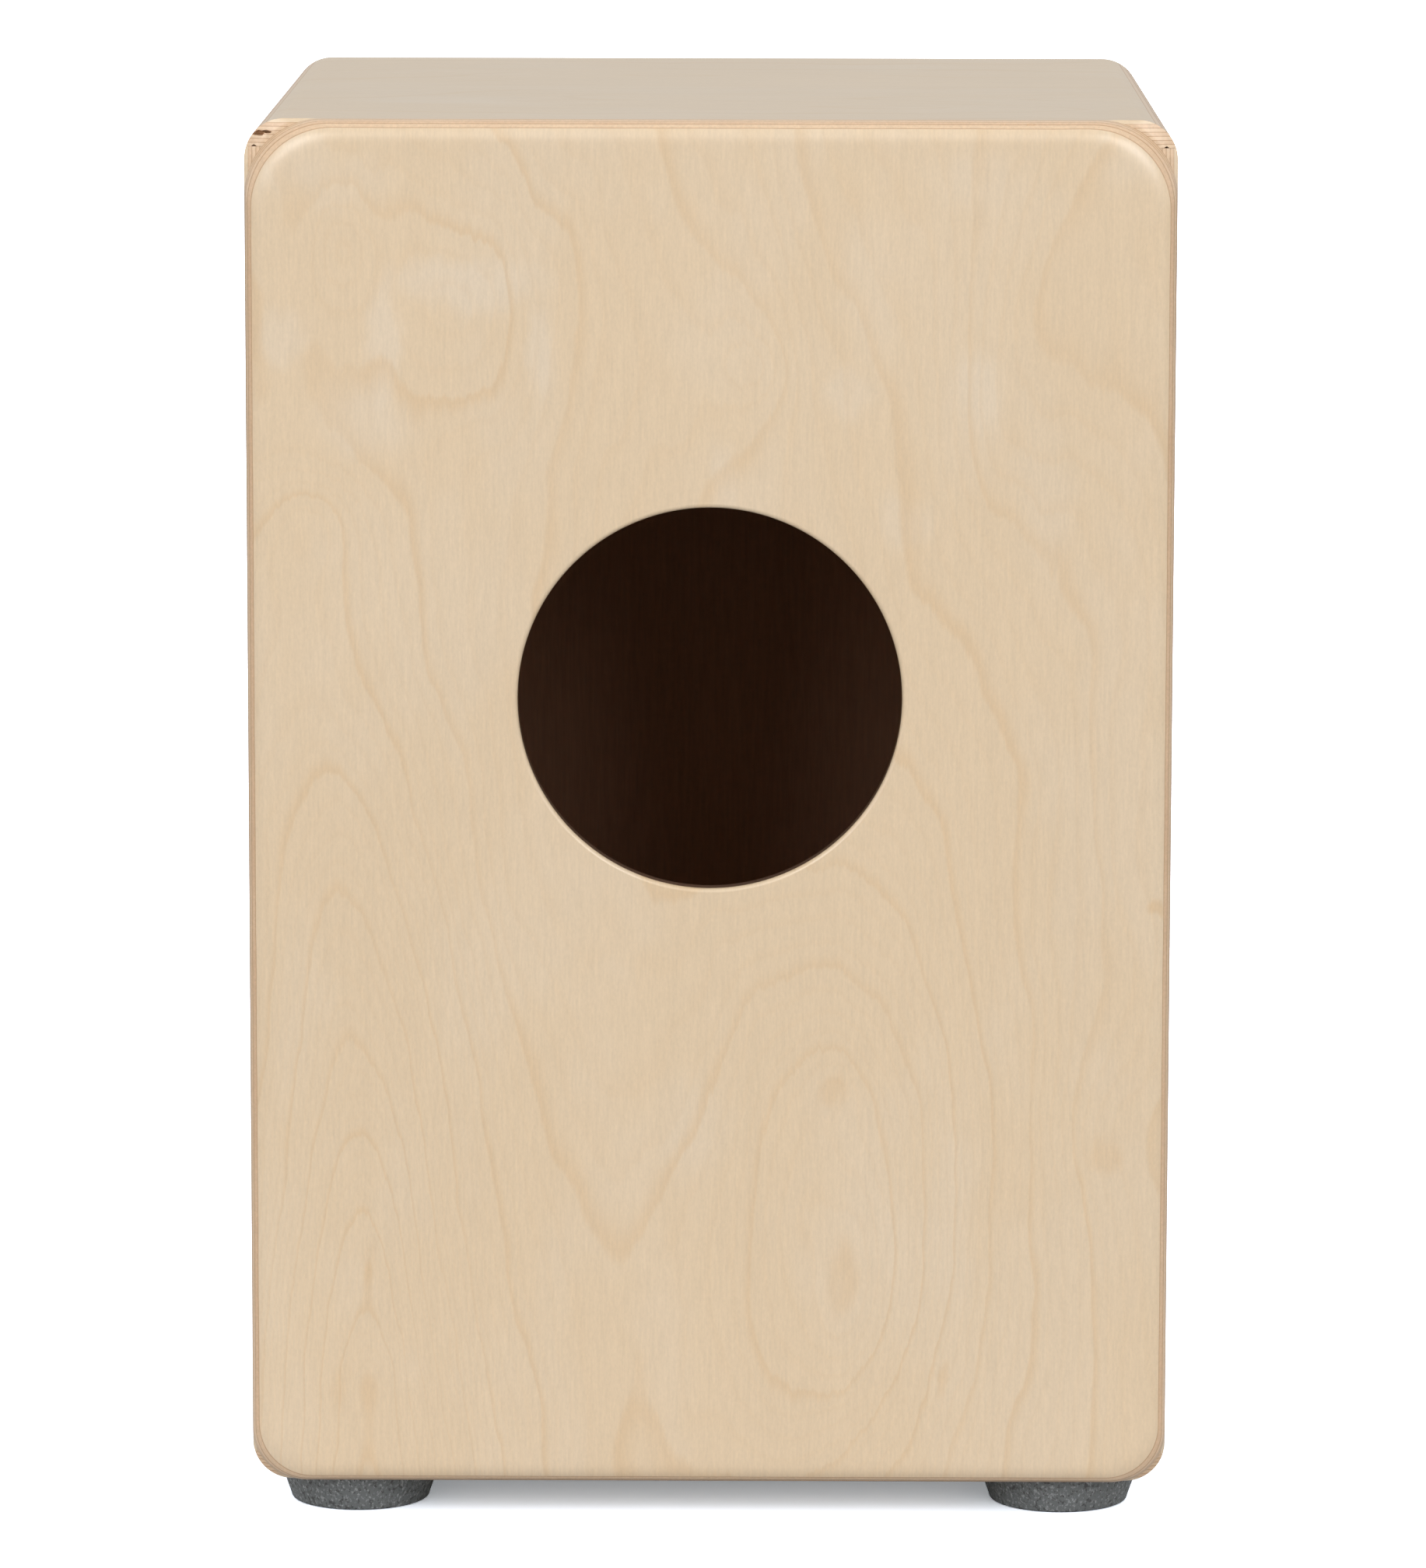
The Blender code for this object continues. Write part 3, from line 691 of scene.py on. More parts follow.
TOP_FIGURE = {
    "strength": 0.25,
    "slope": 18.0,
    "ridges": ((0.040, 0.120, 0.030, 14.0, 0.05),),
    "hills": ((-0.060, 0.020, 0.025, 0.070, 2.2, 0.1), (0.090, -0.060, 0.020, 0.060, -1.6, 0.0)),
    "stains": ((-0.030, 0.080, 0.003, 0.008, 0.6),),
    "pale": ((0.060, 0.090, 0.020, 0.030, 0.5), (-0.100, -0.060, 0.018, 0.030, 0.5)),
}
SIDE_FIGURE = {
    "strength": 0.45,
    "slope": 14.0,
    "ridges": ((0.010, 0.400, 0.028, 20.0, 0.04),),
    "hills": ((-0.080, 0.150, 0.024, 0.070, 2.4, 0.06), (0.090, 0.330, 0.022, 0.060, 2.0, 0.0)),
    "stains": ((-0.050, 0.300, 0.003, 0.008, 0.6),),
    "pale": ((0.050, 0.200, 0.018, 0.040, 0.5), (-0.070, 0.380, 0.020, 0.028, 0.5)),
}


# Gaps in the core of the top panel, laid open by its sanded corners: place, half sizes
CORE_VOIDS = (
    ((0.1454, REAR_Y - 0.0080, BOX_TOP - 0.0048), (0.0019, 0.0040, 0.00085)),
    ((0.1432, REAR_Y - 0.0076, BOX_TOP - 0.0044), (0.0022, 0.0036, 0.00050)),
    ((-0.1462, REAR_Y - 0.0078, BOX_TOP - 0.0089), (0.0008, 0.0022, 0.00040)),
    ((0.1468, REAR_Y - 0.0078, BOX_TOP - 0.0089), (0.0008, 0.0022, 0.00040)),
)

# The same in the rounded top edge of the rear panel
EDGE_VOIDS = (
    ((-0.0936, REAR_Y - 0.0026, BOX_TOP - 0.0013), (0.0012, 0.0004, 0.0004)),
    ((-0.1024, REAR_Y - 0.0026, BOX_TOP - 0.0013), (0.0016, 0.0005, 0.0004)),
)


def core_void(name, place, half_sizes):
    """Return a rough pebble that cuts a void."""
    shape = bmesh.new()
    bmesh.ops.create_icosphere(shape, subdivisions=3, radius=1.0)
    for vertex in shape.verts:
        x, y, z = vertex.co
        vertex.co *= 1.0 + 0.12 * math.sin(5.0 * x + 2.0 * z) + 0.10 * math.sin(7.0 * y - 4.0 * x)
    bmesh.ops.scale(shape, vec=half_sizes, verts=shape.verts)
    bmesh.ops.translate(shape, vec=place, verts=shape.verts)
    return finished(name, shape)


def brown_veneer(name, brown):
    """Return unvarnished brown veneer, as on the inner faces; the wall of the hole is drawn with it
    too, near black.
    """
    g = Surface(name)
    fibre = g.noise((900.0, 900.0, 60.0), 2.0, 0.6)
    cloud = g.noise((30.0, 30.0, 9.0), 3.0, 0.5)
    tone = g.linear(fibre, 0.30, g.times(cloud, 0.35))
    colour = g.scaled(brown, g.math("ADD", 1.0, tone))
    return g.finish(colour, 0.85, g.bump(fibre, 0.2, 0.0003))


SQUARE = 0.99            # a face counts as facing an axis past this part of its normal
ACROSS = 0.2             # and as lying along it below this part
WALL_REACH = 0.0002      # slack when the wall of the hole is looked for


def finish_panel(panel, material, inside, axis, sign, node):
    """Dress a baked panel, with the raw veneer on the face that looks into the box."""
    smooth(panel)
    dress(panel, material, [node])
    panel.data.materials.append(inside)
    reach = min(sign * vertex.co[axis] for vertex in panel.data.vertices)
    for face in panel.data.polygons:
        if sign * face.normal[axis] < -SQUARE and sign * face.center[axis] < reach + TINY:
            face.material_index = 1


def darken_hole_wall(panel):
    """Colour the wall of the sound hole near black."""
    # The wall of the hole gets a near black colour, far darker than the inner veneer.
    panel.data.materials.append(brown_veneer("near_black_hole_wall", HOLE_WALL))
    for face in panel.data.polygons:
        x, y, z = face.center
        if abs(face.normal.y) < ACROSS and math.hypot(x, z - HOLE_Z) < HOLE_R + WALL_REACH:
            face.material_index = 2


PAST = HALF_W + OVERSIZE                 # half width of a blank
SHELL_FRONT = FRONT_Y + TAPA_PLY + SEAM  # ends of the panels between tapa and rear panel
SHELL_REAR = REAR_Y - REAR_PLY - SEAM
RIM_STEPS = 8


def core_voids(name, voids):
    """Return the cutters of a list of voids."""
    return [core_void(f"{name}_{index}", *void) for index, void in enumerate(voids)]


def sound_hole():
    """Return the cutter of the sound hole, which leaves its rim rounded."""
    profile = [(0.0, OVERSIZE), (HOLE_R + HOLE_ROUND, OVERSIZE)]
    profile += arc((HOLE_R + HOLE_ROUND, -HOLE_ROUND), HOLE_ROUND, 90, 180, RIM_STEPS)
    profile += [(HOLE_R, -REAR_PLY - OVERSIZE), (0.0, -REAR_PLY - OVERSIZE)]
    facing = Matrix.Translation((0.0, REAR_Y, HOLE_Z)) @ Matrix.Rotation(math.radians(-90), 4, "X")
    return turned("sound_hole", profile, HOLE_STEPS, facing)


def add_rear_panel(outside, inside):
    """Make the rear panel with its sound hole and the gaps in its rounded top edge."""
    panel = make_panel("rear_panel_fine", (-PAST, REAR_Y - REAR_PLY, BOX_LOW - OVERSIZE),
                       (PAST, REAR_Y + OVERSIZE, BOX_TOP + OVERSIZE), outside)
    cut(panel, sound_hole(), *core_voids("edge_void", EDGE_VOIDS))
    material = plywood("birch_rear", "Y", REAR_Y, 1, VENEER, LEVEL, UPRIGHT, 2.0, REAR_FIGURE)
    finish_panel(panel, material, inside, 1, 1, "rear_panel")
    darken_hole_wall(panel)


def add_level_panels(outside, inside):
    """Make the top panel, with the gaps in its core, and the bottom panel."""
    top = make_panel("top_panel_fine", (-PAST, SHELL_FRONT, BOX_TOP - PANEL),
                     (PAST, SHELL_REAR, BOX_TOP + OVERSIZE), outside)
    cut(top, *core_voids("core_void", CORE_VOIDS))
    material = plywood("birch_top", "Z", BOX_TOP, 1, VENEER, DEEP, LEVEL, 5.0, TOP_FIGURE)
    finish_panel(top, material, inside, 2, 1, "top_panel")
    bottom = make_panel("bottom_panel_fine", (-PAST, SHELL_FRONT, BOX_LOW - OVERSIZE),
                        (PAST, SHELL_REAR, BOX_LOW + PANEL), outside)
    material = plywood("birch_bottom", "Z", BOX_LOW, -1, VENEER, DEEP, LEVEL, 7.0, TOP_FIGURE)
    finish_panel(bake(bottom), material, inside, 2, -1, "bottom_panel")


def add_side_panels(outside, inside):
    """Make the two sides, which stand between the top and the bottom panel."""
    for side, sign in SIDES:
        near_x, far_x = sorted((sign * PAST, sign * (HALF_W - PANEL)))
        panel = make_panel(f"side_panel_{side}_fine", (near_x, SHELL_FRONT, BOX_LOW + PANEL + SEAM),
                           (far_x, SHELL_REAR, BOX_TOP - PANEL - SEAM), outside)
        material = plywood(f"birch_side_{side}", "X", HALF_W, 1, VENEER, DEEP, UPRIGHT,
                           11.0 + sign, SIDE_FIGURE, mirrored=True)
        finish_panel(bake(panel), material, inside, 0, sign, f"side_panel_{side}")


def add_tapa(outside, inside):
    """Make the tapa with its countersunk bores."""
    panel = make_panel("tapa_fine", (-PAST, FRONT_Y - OVERSIZE, BOX_LOW - OVERSIZE),
                       (PAST, FRONT_Y + TAPA_PLY, BOX_TOP + OVERSIZE), outside)
    bores = bpy.data.collections.new("tapa_bores")
    bpy.context.scene.collection.children.link(bores)
    for name in nodes_named("tapa_screw_"):
        bore = tapa_bore(*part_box(name))
        bpy.context.scene.collection.objects.unlink(bore)
        bores.objects.link(bore)
    combine(panel, bores, "DIFFERENCE")
    bake(panel, *bores.objects)
    bpy.data.collections.remove(bores)
    material = plywood("birch_tapa", "Y", FRONT_Y, -1, TAPA_VENEER, LEVEL, UPRIGHT, 17.0, TAPA_FIGURE)
    finish_panel(panel, material, inside, 1, -1, "tapa")


def add_panels():
    """Make the six outer panels of the box."""
    outside = outside_form()
    inside = brown_veneer("raw_inner_veneer", INNER_FACE)
    add_rear_panel(outside, inside)
    add_level_panels(outside, inside)
    add_side_panels(outside, inside)
    add_tapa(outside, inside)
    bpy.data.objects.remove(outside)


# ---- feet

RUBBER = (0.170, 0.182, 0.186)
RUBBER_LIGHT = (0.430, 0.450, 0.460)
RUBBER_DARK = (0.050, 0.050, 0.048)


def rubber():
    """Return speckled grey rubber."""
    g = Surface("foot_rubber_speckled")
    grain = g.noise((1100.0, 1100.0, 700.0), 3.0, 0.65)
    light = g.step(grain, 0.02, 0.16)
    dark = g.step(g.noise((800.0, 800.0, 600.0), 2.0, 0.6, (4.0, 1.0, 2.0)), 0.03, 0.16)
    colour = g.mix(g.times(light, 0.75), RUBBER, RUBBER_LIGHT)
    colour = g.mix(g.times(dark, 0.7), colour, RUBBER_DARK)
    return g.finish(colour, 0.82, g.bump(grain, 0.35, 0.0004))


FOOT_TOP_R = 0.0265
FOOT_BASE_R = 0.0230
FOOT_EDGE = 0.0012
FOOT_HOLE_R = 0.0025
FOOT_RECESS_R = 0.0110
FOOT_RECESS = 0.0065     # height of the recess for the screw head
FOOT_LIP = 0.0006        # rounding where the recess meets the floor
FOOT_RIM = 0.0004        # eased edge at the top
FOOT_STEPS = 128


def add_feet():
    """Make the four tapered feet with their recesses."""
    material = rubber()
    for end in ("front", "rear"):
        for side in ("left", "right"):
            node = f"foot_{end}_{side}"
            low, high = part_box(node)
            middle = (low + high) / 2
            top = high.z
            profile = [(FOOT_HOLE_R, top), (FOOT_TOP_R - FOOT_RIM, top), (FOOT_TOP_R, top - FOOT_RIM)]
            profile += arc((FOOT_BASE_R - FOOT_EDGE, FOOT_EDGE), FOOT_EDGE, 0, -90, 6)
            profile += arc((FOOT_RECESS_R + FOOT_LIP, FOOT_LIP), FOOT_LIP, -90, -180, 4)
            profile += [(FOOT_RECESS_R, FOOT_RECESS), (FOOT_HOLE_R, FOOT_RECESS)]
            place = Matrix.Translation((middle.x, middle.y, 0.0))
            foot = turned(node + "_fine", profile, FOOT_STEPS, place, closed=True)
            dress(smooth(foot), material, [node])


# ---- solid wood, steel, fabric

# Light and dark wood, rings per metre, share of flecks
PINE = ((0.660, 0.470, 0.260), (0.520, 0.310, 0.140), 190.0, 0.0)
BEECH = ((0.600, 0.380, 0.230), (0.500, 0.290, 0.160), 140.0, 0.6)
ZINC = (0.60, 0.60, 0.61)
BRIGHT_STEEL = (0.72, 0.71, 0.68)
NYLON = (0.030, 0.030, 0.033)


def solid_wood(name, along, light, dark, ring_rate, fleck):
    """Return planed wood with growth rings and fibres along one axis."""
    g = Surface(name)
    across = tuple(1.0 - part for part in along)
    rings = g.noise(grain_scale(across, along, ring_rate, 0.04 * ring_rate), 3.0, 0.5, (3.0, 1.0, 2.0))
    fibre = g.noise(grain_scale(across, along, 1400.0, 50.0), 2.0, 0.6)
    spots = g.noise(grain_scale(across, along, 900.0, 260.0), 1.0, 0.5, (7.0, 5.0, 1.0))
    flecks = g.step(spots, 0.10, 0.2)
    colour = g.mix(g.step(rings, -0.16, 0.18), light, dark)
    colour = g.mix(g.times(flecks, fleck), colour, tuple(0.55 * part for part in dark))
    colour = g.scaled(colour, g.linear(fibre, 0.30, 1.0))
    return g.finish(colour, 0.62, g.bump(fibre, 0.25, 0.0003))


def metal(name, colour, roughness):
    """Return plated steel with fine wear."""
    g = Surface(name)
    wear = g.noise((2600.0, 2600.0, 2600.0), 2.0, 0.6)
    patchy = g.noise((350.0, 350.0, 350.0), 2.0, 0.5)
    tone = g.linear(wear, 0.20, g.times(patchy, 0.25))
    colour = g.scaled(colour, g.math("ADD", 1.0, tone))
    uneven = g.linear(patchy, 0.25, roughness)
    return g.finish(colour, uneven, g.bump(wear, 0.08, 0.0001), Metallic=1.0)


def fabric():
    """Return the black nylon of the hook and loop pads."""
    g = Surface("hook_and_loop_nylon")
    fuzz = g.noise((2200.0, 2200.0, 2200.0), 3.0, 0.7)
    colour = g.scaled(NYLON, g.linear(fuzz, 1.4, 1.0))
    return g.finish(colour, 0.9, g.bump(fuzz, 0.8, 0.0006), Sheen_Weight=0.5, Sheen_Roughness=0.5)


def dress_frame():
    """Give the CAD nodes that are kept their procedural materials."""
    woods = {direction: solid_wood(f"pine_{name}", direction, *PINE)
             for name, direction in (("upright", UPRIGHT), ("level", LEVEL), ("deep", DEEP))}
    beech = solid_wood("beech_rest", DEEP, *BEECH)
    nylon = fabric()
    for name, node in frame["nodes"].items():
        if "corner_block" in name:
            material = woods[DEEP]
        elif "batten" in name:
            material = woods[UPRIGHT if name.endswith(("left", "right")) else LEVEL]
        elif "snare_rest" in name:
            material = beech
        elif "_pad_" in name:
            material = nylon
        else:
            continue
        node.data.materials.clear()
        node.data.materials.append(material)


# ---- screws and washers

SCREW_POINT = 0.0025     # length of any screw's point
EASE = 0.0002            # broken edge of a head or a washer
PILOT_R = 0.0025         # hole in a washer
WASHER_STEPS = 96
THREAD_ROOT = 0.8        # radius between the threads, in shank radii
TAPA_PITCH = 0.0012
ROUND_PITCH = 0.0011
TAPA_RECESS = 0.0015     # depth of the cross recess
DOME = 1.25              # radius of a round head's crown, in head radii
CROWN = 0.45             # height of the crown, in head heights
RECESS_LENGTH = 0.62     # half length of a recess bar, in head radii
RECESS_WIDTH = 0.13      # half width of a recess bar, in head radii
RECESS_PROUD = 0.3       # how far its cutter stands out of the head, in depths
RECESS_TAPER = 0.55      # length of a recess bar at its bottom, as a share

# Shank radius, head height and recess depth of the round-headed screws
FOOT_SCREW = (0.0022, 0.0026, 0.0016)
SNARE_SCREW = (0.0014, 0.0016, 0.0010)


def cross_recess(name, half_length, half_width, low, high):
    """Return the two tapered bars of a cross recess, widest at the low end."""
    tools = []
    for turn in (45, 135):
        loops = []
        for share, z in ((1.0, low), (RECESS_TAPER, high)):
            x = half_length * share
            y = half_width * (0.6 + 0.4 * share)
            loops.append([(x, y, z), (-x, y, z), (-x, -y, z), (x, -y, z)])
        tool = loft(f"{name}_{turn}", loops)
        tool.data.transform(Matrix.Rotation(math.radians(turn), 4, "Z"))
        tools.append(tool)
    return tools


def thread(radius, start, end, pitch):
    """Return the outline of a thread between two heights, as (radius, height) points."""
    count = int((end - start) / pitch)
    stride = (end - start) / count
    root = THREAD_ROOT * radius
    points = []
    for index in range(count):
        points += [(root, start + stride * index), (radius, start + stride * (index + 0.5))]
    return points + [(root, end)]


def countersunk_profile():
    """Return the outline of a tapa screw that points up, its flat face at height 0."""
    low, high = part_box("tapa_screw_left_1")
    length = high.y - low.y
    points = [(0.0, 0.0), (TAPA_HEAD_R - EASE, 0.0), (TAPA_HEAD_R, EASE)]
    points += thread(TAPA_SHANK_R, TAPA_HEAD_T, length - SCREW_POINT, TAPA_PITCH)
    return points + [(0.0, length)]


def pan_profile(radius, head_r, head_t, length):
    """Return the outline of a round-headed screw that points up, its crown at height 0."""
    dome_r = DOME * head_r
    reach = math.degrees(math.asin(head_r / dome_r))
    dome = arc((0.0, dome_r), dome_r, -90, reach - 90, 8)
    flatter = CROWN * head_t / dome[-1][1]
    points = [(r, z * flatter) for r, z in dome]
    points += [(head_r, head_t), (radius, head_t)]
    points += thread(radius, head_t + 2 * EASE, length - SCREW_POINT, ROUND_PITCH)
    return points + [(0.0, length)]


def screw(name, profile, head_r, depth):
    """Return a cross-head screw that points up, with its face at the origin."""
    tools = cross_recess(name + "_recess", RECESS_LENGTH * head_r, RECESS_WIDTH * head_r,
                         -RECESS_PROUD * depth, depth)
    return cut(turned(name, profile, SCREW_STEPS), *tools)


def round_screw(name, low, high, axis, shank_r, head_t, depth):
    """Return a round-headed screw with the length and head of a CAD node's box."""
    head_r = (high.x - low.x) / 2
    return screw(name, pan_profile(shank_r, head_r, head_t, high[axis] - low[axis]), head_r, depth)


def washer():
    """Return a washer with broken edges, its underside at the origin."""
    low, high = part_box("foot_washer_front_left")
    radius = (high.x - low.x) / 2
    thickness = high.z - low.z
    profile = [(PILOT_R, EASE), (PILOT_R + EASE, 0.0), (radius - EASE, 0.0), (radius, EASE)]
    profile += [(r, thickness - z) for r, z in reversed(profile)]
    return turned("washer", profile, WASHER_STEPS, closed=True)


def upright(low, high):
    """Return the matrix that stands a fastener in its node's box, pointing up."""
    middle = (low + high) / 2
    return Matrix.Translation((middle.x, middle.y, low.z))


def rearward(low, high):
    """Return the matrix that lays a fastener in its node's box, pointing to the rear."""
    middle = (low + high) / 2
    return Matrix.Translation((middle.x, low.y, middle.z)) @ Matrix.Rotation(math.radians(-90), 4, "X")


def place_copies(master, start, matrix_for, material, body="shell"):
    """Put the master's shape at every node whose name has this start, and remove the master."""
    soften(master.data, 40.0)
    for node in nodes_named(start):
        piece = add_object(node + "_fine", master.data)
        piece.matrix_world = matrix_for(*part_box(node))
        dress(keep_flat(piece), material, [node], body)
    bpy.data.objects.remove(master)


def add_fasteners(steel):
    """Make the tapa screws, the foot screws with their washers, and the snare screws."""
    master = screw("countersunk_screw", countersunk_profile(), TAPA_HEAD_R, TAPA_RECESS)
    place_copies(master, "tapa_screw_", rearward, steel)
    master = round_screw("foot_screw", *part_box("foot_screw_front_left"), 2, *FOOT_SCREW)
    place_copies(master, "foot_screw_", upright, steel)
    place_copies(washer(), "foot_washer_", upright, steel)
    master = round_screw("snare_screw", *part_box("snare_screw_left_1"), 1, *SNARE_SCREW)
    place_copies(master, "snare_screw_", rearward, steel, "snare_unit")


# ---- snare unit

STRIP_DEPTH = 0.001
STRIP_HEIGHT = 0.010
STRAND_COUNT = 10
STRAND_PITCH = 0.0038
STRAND_LENGTH = 0.088
STRAND_LEAN = 0.0050     # how far a strand comes forward to the tapa
STRAND_ROOT = 0.0015     # length of strand soldered to its strip
SNARE_SPLAY = math.radians(8)
COIL_RADIUS = 0.00056
COIL_PITCH = 0.0011
COIL_POINTS = 9          # per turn
WIRE_RADIUS = 0.00022
BAR_ROUND = 0.003
PLATE_ROUND = 0.0004
STRIP_ROUND = 0.00025


def coil(root, tip):
    """Return the points of a wire that winds round the line from root to tip."""
    forward = (tip - root).normalized()
    side = forward.cross(Vector(DEEP)).normalized()
    front = side.cross(forward)
    count = int((tip - root).length / COIL_PITCH * COIL_POINTS)
    points = []
    for index in range(count + 1):
        angle = math.tau * index / COIL_POINTS
        radius = COIL_RADIUS * min(1.0, index / COIL_POINTS)
        around = side * math.cos(angle) + front * math.sin(angle)
        points.append(root.lerp(tip, index / count) + around * radius)
    return points


def wire_mesh(name, wires):
    """Return one mesh of round wires along lists of points."""
    curve = bpy.data.curves.new(name, "CURVE")
    curve.dimensions = "3D"
    curve.bevel_depth = WIRE_RADIUS
    curve.bevel_resolution = 1
    curve.use_fill_caps = True
    for points in wires:
        spline = curve.splines.new("POLY")
        spline.points.add(len(points) - 1)
        for point, place in zip(spline.points, points):
            point.co = (*place, 1.0)
    source = add_object(name, curve)
    bpy.context.view_layer.update()
    mesh = bpy.data.meshes.new_from_object(source.evaluated_get(bpy.context.evaluated_depsgraph_get()))
    bpy.data.objects.remove(source)
    return mesh


def add_snare_wires(side, sign, steel):
    """Make one soldered strip with its coiled strands."""
    node = f"snare_wires_{side}"
    plate_low, plate_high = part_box(f"snare_plate_{side}")
    bar_low, bar_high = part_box("snare_crossbar")
    middle_x = (plate_low.x + plate_high.x) / 2
    middle_z = (bar_low.z + bar_high.z) / 2
    rear_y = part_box(node)[1].y
    front_y = rear_y - STRIP_DEPTH
    top_z = middle_z + STRIP_HEIGHT / 2
    rise = math.sqrt(STRAND_LENGTH ** 2 - STRAND_LEAN ** 2)
    wires = []
    for index in range(STRAND_COUNT):
        root_x = middle_x + (index - (STRAND_COUNT - 1) / 2) * STRAND_PITCH
        root = Vector((root_x, front_y, top_z - STRAND_ROOT))
        tip = Vector((root_x + sign * rise * math.sin(SNARE_SPLAY), front_y - STRAND_LEAN,
                      top_z + rise * math.cos(SNARE_SPLAY)))
        wires.append(coil(root, tip))
    coils = wire_mesh(node + "_coils", wires)
    strip = block(node + "_fine", (plate_low.x, front_y, middle_z - STRIP_HEIGHT / 2),
                  (plate_high.x, rear_y, top_z))
    bake(bevel(strip, STRIP_ROUND, 2))
    shape = bmesh.new()
    shape.from_mesh(strip.data)
    shape.from_mesh(coils)
    shape.to_mesh(strip.data)
    shape.free()
    bpy.data.meshes.remove(coils)
    strip.data.shade_smooth()
    strip.data.set_sharp_from_angle(angle=math.radians(50))
    dress(strip, steel, [node], "snare_unit")


def add_snare_unit(steel):
    """Make the crossbar, the clamp plates and the wires."""
    bar = block("snare_crossbar_fine", *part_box("snare_crossbar"))
    bake(bevel(bar, BAR_ROUND, 6))
    beech = solid_wood("beech_bar", LEVEL, *BEECH)
    dress(smooth(bar), beech, ["snare_crossbar"], "snare_unit")
    bright = metal("bright_snare_steel", BRIGHT_STEEL, 0.25)
    for side, sign in SIDES:
        node = f"snare_plate_{side}"
        plate = block(node + "_fine", *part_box(node))
        bake(bevel(plate, PLATE_ROUND, 3))
        dress(smooth(plate), steel, [node], "snare_unit")
        add_snare_wires(side, sign, bright)


# ---- studio

FLOOR_REACH = 14.0
FLOOR_DEPTH = 0.02
FLOOR_SEEN = (1.85, 1.98, 2.22, 1.0)         # what the camera sees, overexposed
FLOOR_GLOW = (0.94, 1.00, 1.05, 1.0)
FLOOR_BOUNCE = (0.30, 0.30, 0.30)            # what the floor throws back
FLOOR_BOUNCE_NEAR = (0.50, 0.51, 0.53)       # the same close to the box
TENT_COLOUR = (1.0, 0.985, 0.955, 1.0)
TENT_REAR = 0.40
TENT_FRONT = 0.49
TENT_SIDES = 0.60                            # added to the left and right
TENT_TOP = 0.84
BACKDROP_COLOUR = (1.0, 1.0, 1.0, 1.0)
BACKDROP = 1.2
AIM = (0.0, 0.0, 0.25)                       # where every light points
KEY_PLACE = (1.45, 2.35, 1.25)
KEY_SIZE = 1.7
KEY_POWER = 24.8
KEY_FRONT_SHARE = 0.7
GLINT_PLACE = (1.00, 2.50, 1.42)
GLINT_SIZE = 0.95
GLINT_POWER = 11.5
CAMERA_PLACE = (-0.0187, 2.765, 0.6568)
CAMERA_HEADING = math.radians(180.386)
CAMERA_PITCH = math.radians(8.945)
CAMERA_ROLL = math.radians(0.1)
CAMERA_LENS = 187.55
CAMERA_END = 60.0


def add_floor():
    """Make the pale floor, brighter for the camera than for the light that it throws back."""
    floor = block("floor", (-FLOOR_REACH, -FLOOR_REACH, -FLOOR_DEPTH), (FLOOR_REACH, FLOOR_REACH, 0.0))
    material = bpy.data.materials.new("floor_white")
    material.use_nodes = True
    g = Graph(material.node_tree)
    g.tree.nodes.clear()
    place = g.node("ShaderNodeNewGeometry").outputs["Position"]
    away = g.vector("LENGTH", place, out=1)
    far = g.step(away, 0.5, 2.0)
    near = g.math("SUBTRACT", 1.0, g.step(away, 0.25, 0.55))
    seen = g.node("ShaderNodeBsdfDiffuse")
    seen.inputs["Color"].default_value = FLOOR_SEEN
    glow = g.node("ShaderNodeEmission")
    g.plug(glow.inputs["Strength"], g.linear(far, 0.9, 0.23))
    glow.inputs["Color"].default_value = FLOOR_GLOW
    both = g.node("ShaderNodeAddShader")
    g.plug(both.inputs[0], seen.outputs[0])
    g.plug(both.inputs[1], glow.outputs[0])
    bounce = g.node("ShaderNodeBsdfDiffuse")
    g.plug(bounce.inputs["Color"], g.mix(near, FLOOR_BOUNCE, FLOOR_BOUNCE_NEAR))
    g.camera_choice(bounce, both, "ShaderNodeOutputMaterial")
    floor.data.materials.append(material)


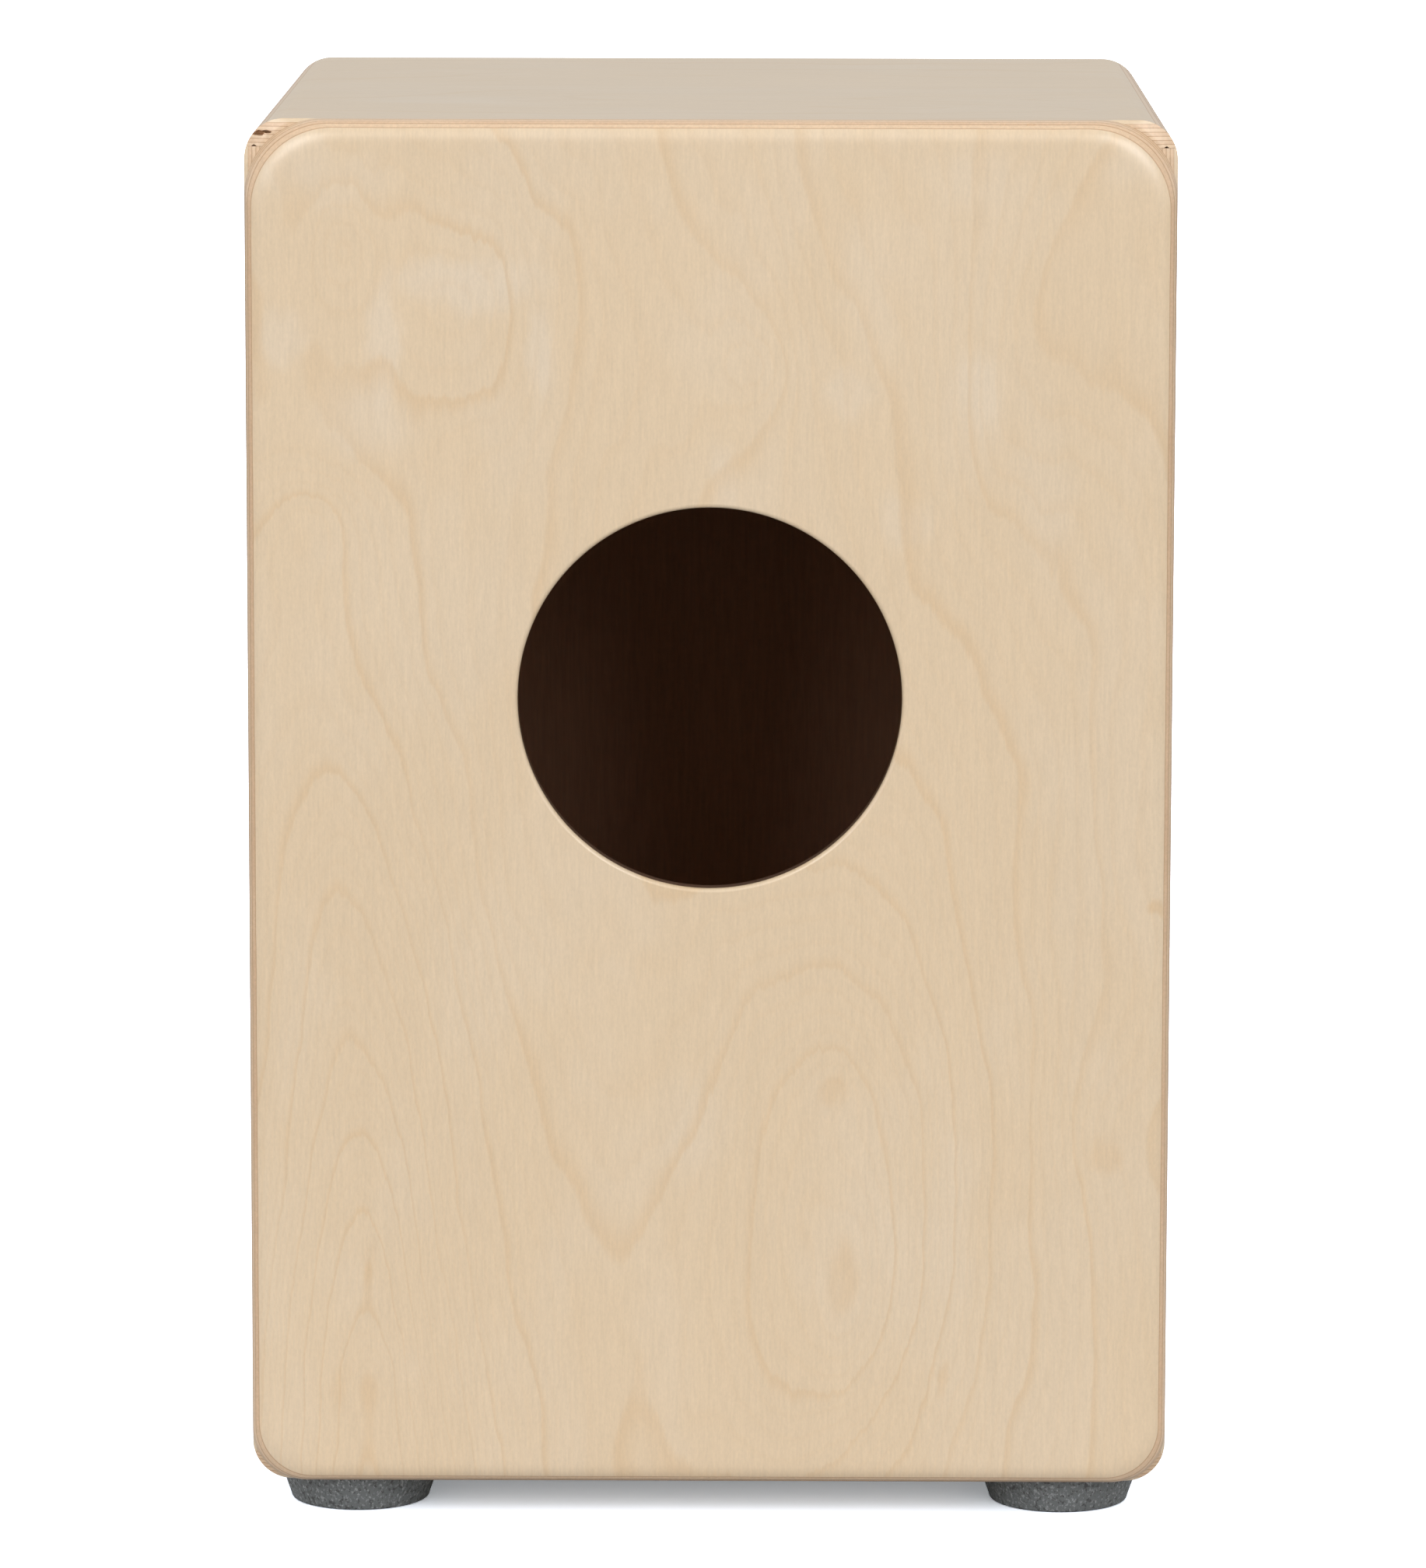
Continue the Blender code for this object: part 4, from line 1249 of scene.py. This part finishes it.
def add_world():
    """Make a white backdrop for the camera, and a tent of light for everything else."""
    world = bpy.data.worlds.new("studio")
    bpy.context.scene.world = world
    world.use_nodes = True
    g = Graph(world.node_tree)
    g.tree.nodes.clear()
    parts = g.node("ShaderNodeSeparateXYZ")
    g.plug(parts.inputs[0], g.node("ShaderNodeTexCoord").outputs["Generated"])
    high = g.step(parts.outputs["Z"], 0.30, 0.85)
    facing_rear = g.step(parts.outputs["Y"], -0.7, 0.3)
    level = g.linear(facing_rear, TENT_REAR - TENT_FRONT, TENT_FRONT)
    sideways = g.step(g.math("ABSOLUTE", parts.outputs["X"]), 0.7, 0.98)
    level = g.linear(sideways, TENT_SIDES, level)
    strength = g.linear(high, g.math("SUBTRACT", TENT_TOP, level), level)
    ambient = g.node("ShaderNodeBackground")
    ambient.inputs["Color"].default_value = TENT_COLOUR
    g.plug(ambient.inputs["Strength"], strength)
    backdrop = g.node("ShaderNodeBackground")
    backdrop.inputs["Color"].default_value = BACKDROP_COLOUR
    backdrop.inputs["Strength"].default_value = BACKDROP
    g.camera_choice(ambient, backdrop, "ShaderNodeOutputWorld")


def add_softbox(name, place, size, power, mirrored=False):
    """Add an area light that faces the object, and either lights it or is mirrored in its varnish."""
    light = bpy.data.lights.new(name, "AREA")
    light.shape = "RECTANGLE"
    light.size = size
    light.size_y = size
    light.energy = power
    obj = bpy.data.objects.new(name, light)
    bpy.context.scene.collection.objects.link(obj)
    obj.location = place
    obj.visible_glossy = mirrored
    obj.visible_diffuse = not mirrored
    obj.rotation_euler = (Vector(AIM) - Vector(place)).to_track_quat("-Z", "Y").to_euler()


def add_lights():
    """Add two keys on the rear side, where the camera stands, two in front, and two glints."""
    for side, sign in SIDES:
        x, y, z = GLINT_PLACE
        add_softbox(f"glint_{side}", (sign * x, y, z), GLINT_SIZE, GLINT_POWER, mirrored=True)
        x, y, z = KEY_PLACE
        add_softbox(f"key_rear_{side}", (sign * x, y, z), KEY_SIZE, KEY_POWER)
        add_softbox(f"key_front_{side}", (sign * x, -y, z), KEY_SIZE, KEY_FRONT_SHARE * KEY_POWER)


def add_camera():
    """Stand the camera square behind the object, looking slightly down."""
    camera = bpy.data.cameras.new("camera")
    camera.lens = CAMERA_LENS
    camera.clip_end = CAMERA_END
    obj = bpy.data.objects.new("camera", camera)
    bpy.context.scene.collection.objects.link(obj)
    heading = Matrix.Rotation(CAMERA_HEADING, 4, "Z")
    pitch = Matrix.Rotation(math.radians(90) - CAMERA_PITCH, 4, "X")
    roll = Matrix.Rotation(CAMERA_ROLL, 4, "Z")
    obj.matrix_world = Matrix.Translation(CAMERA_PLACE) @ heading @ pitch @ roll
    bpy.context.scene.camera = obj


zinc = metal("zinc_plated_steel", ZINC, 0.32)
add_panels()
add_feet()
dress_frame()
add_fasteners(zinc)
add_snare_unit(zinc)
add_floor()
add_world()
add_lights()
add_camera()
bpy.context.scene.view_settings.view_transform = "Standard"
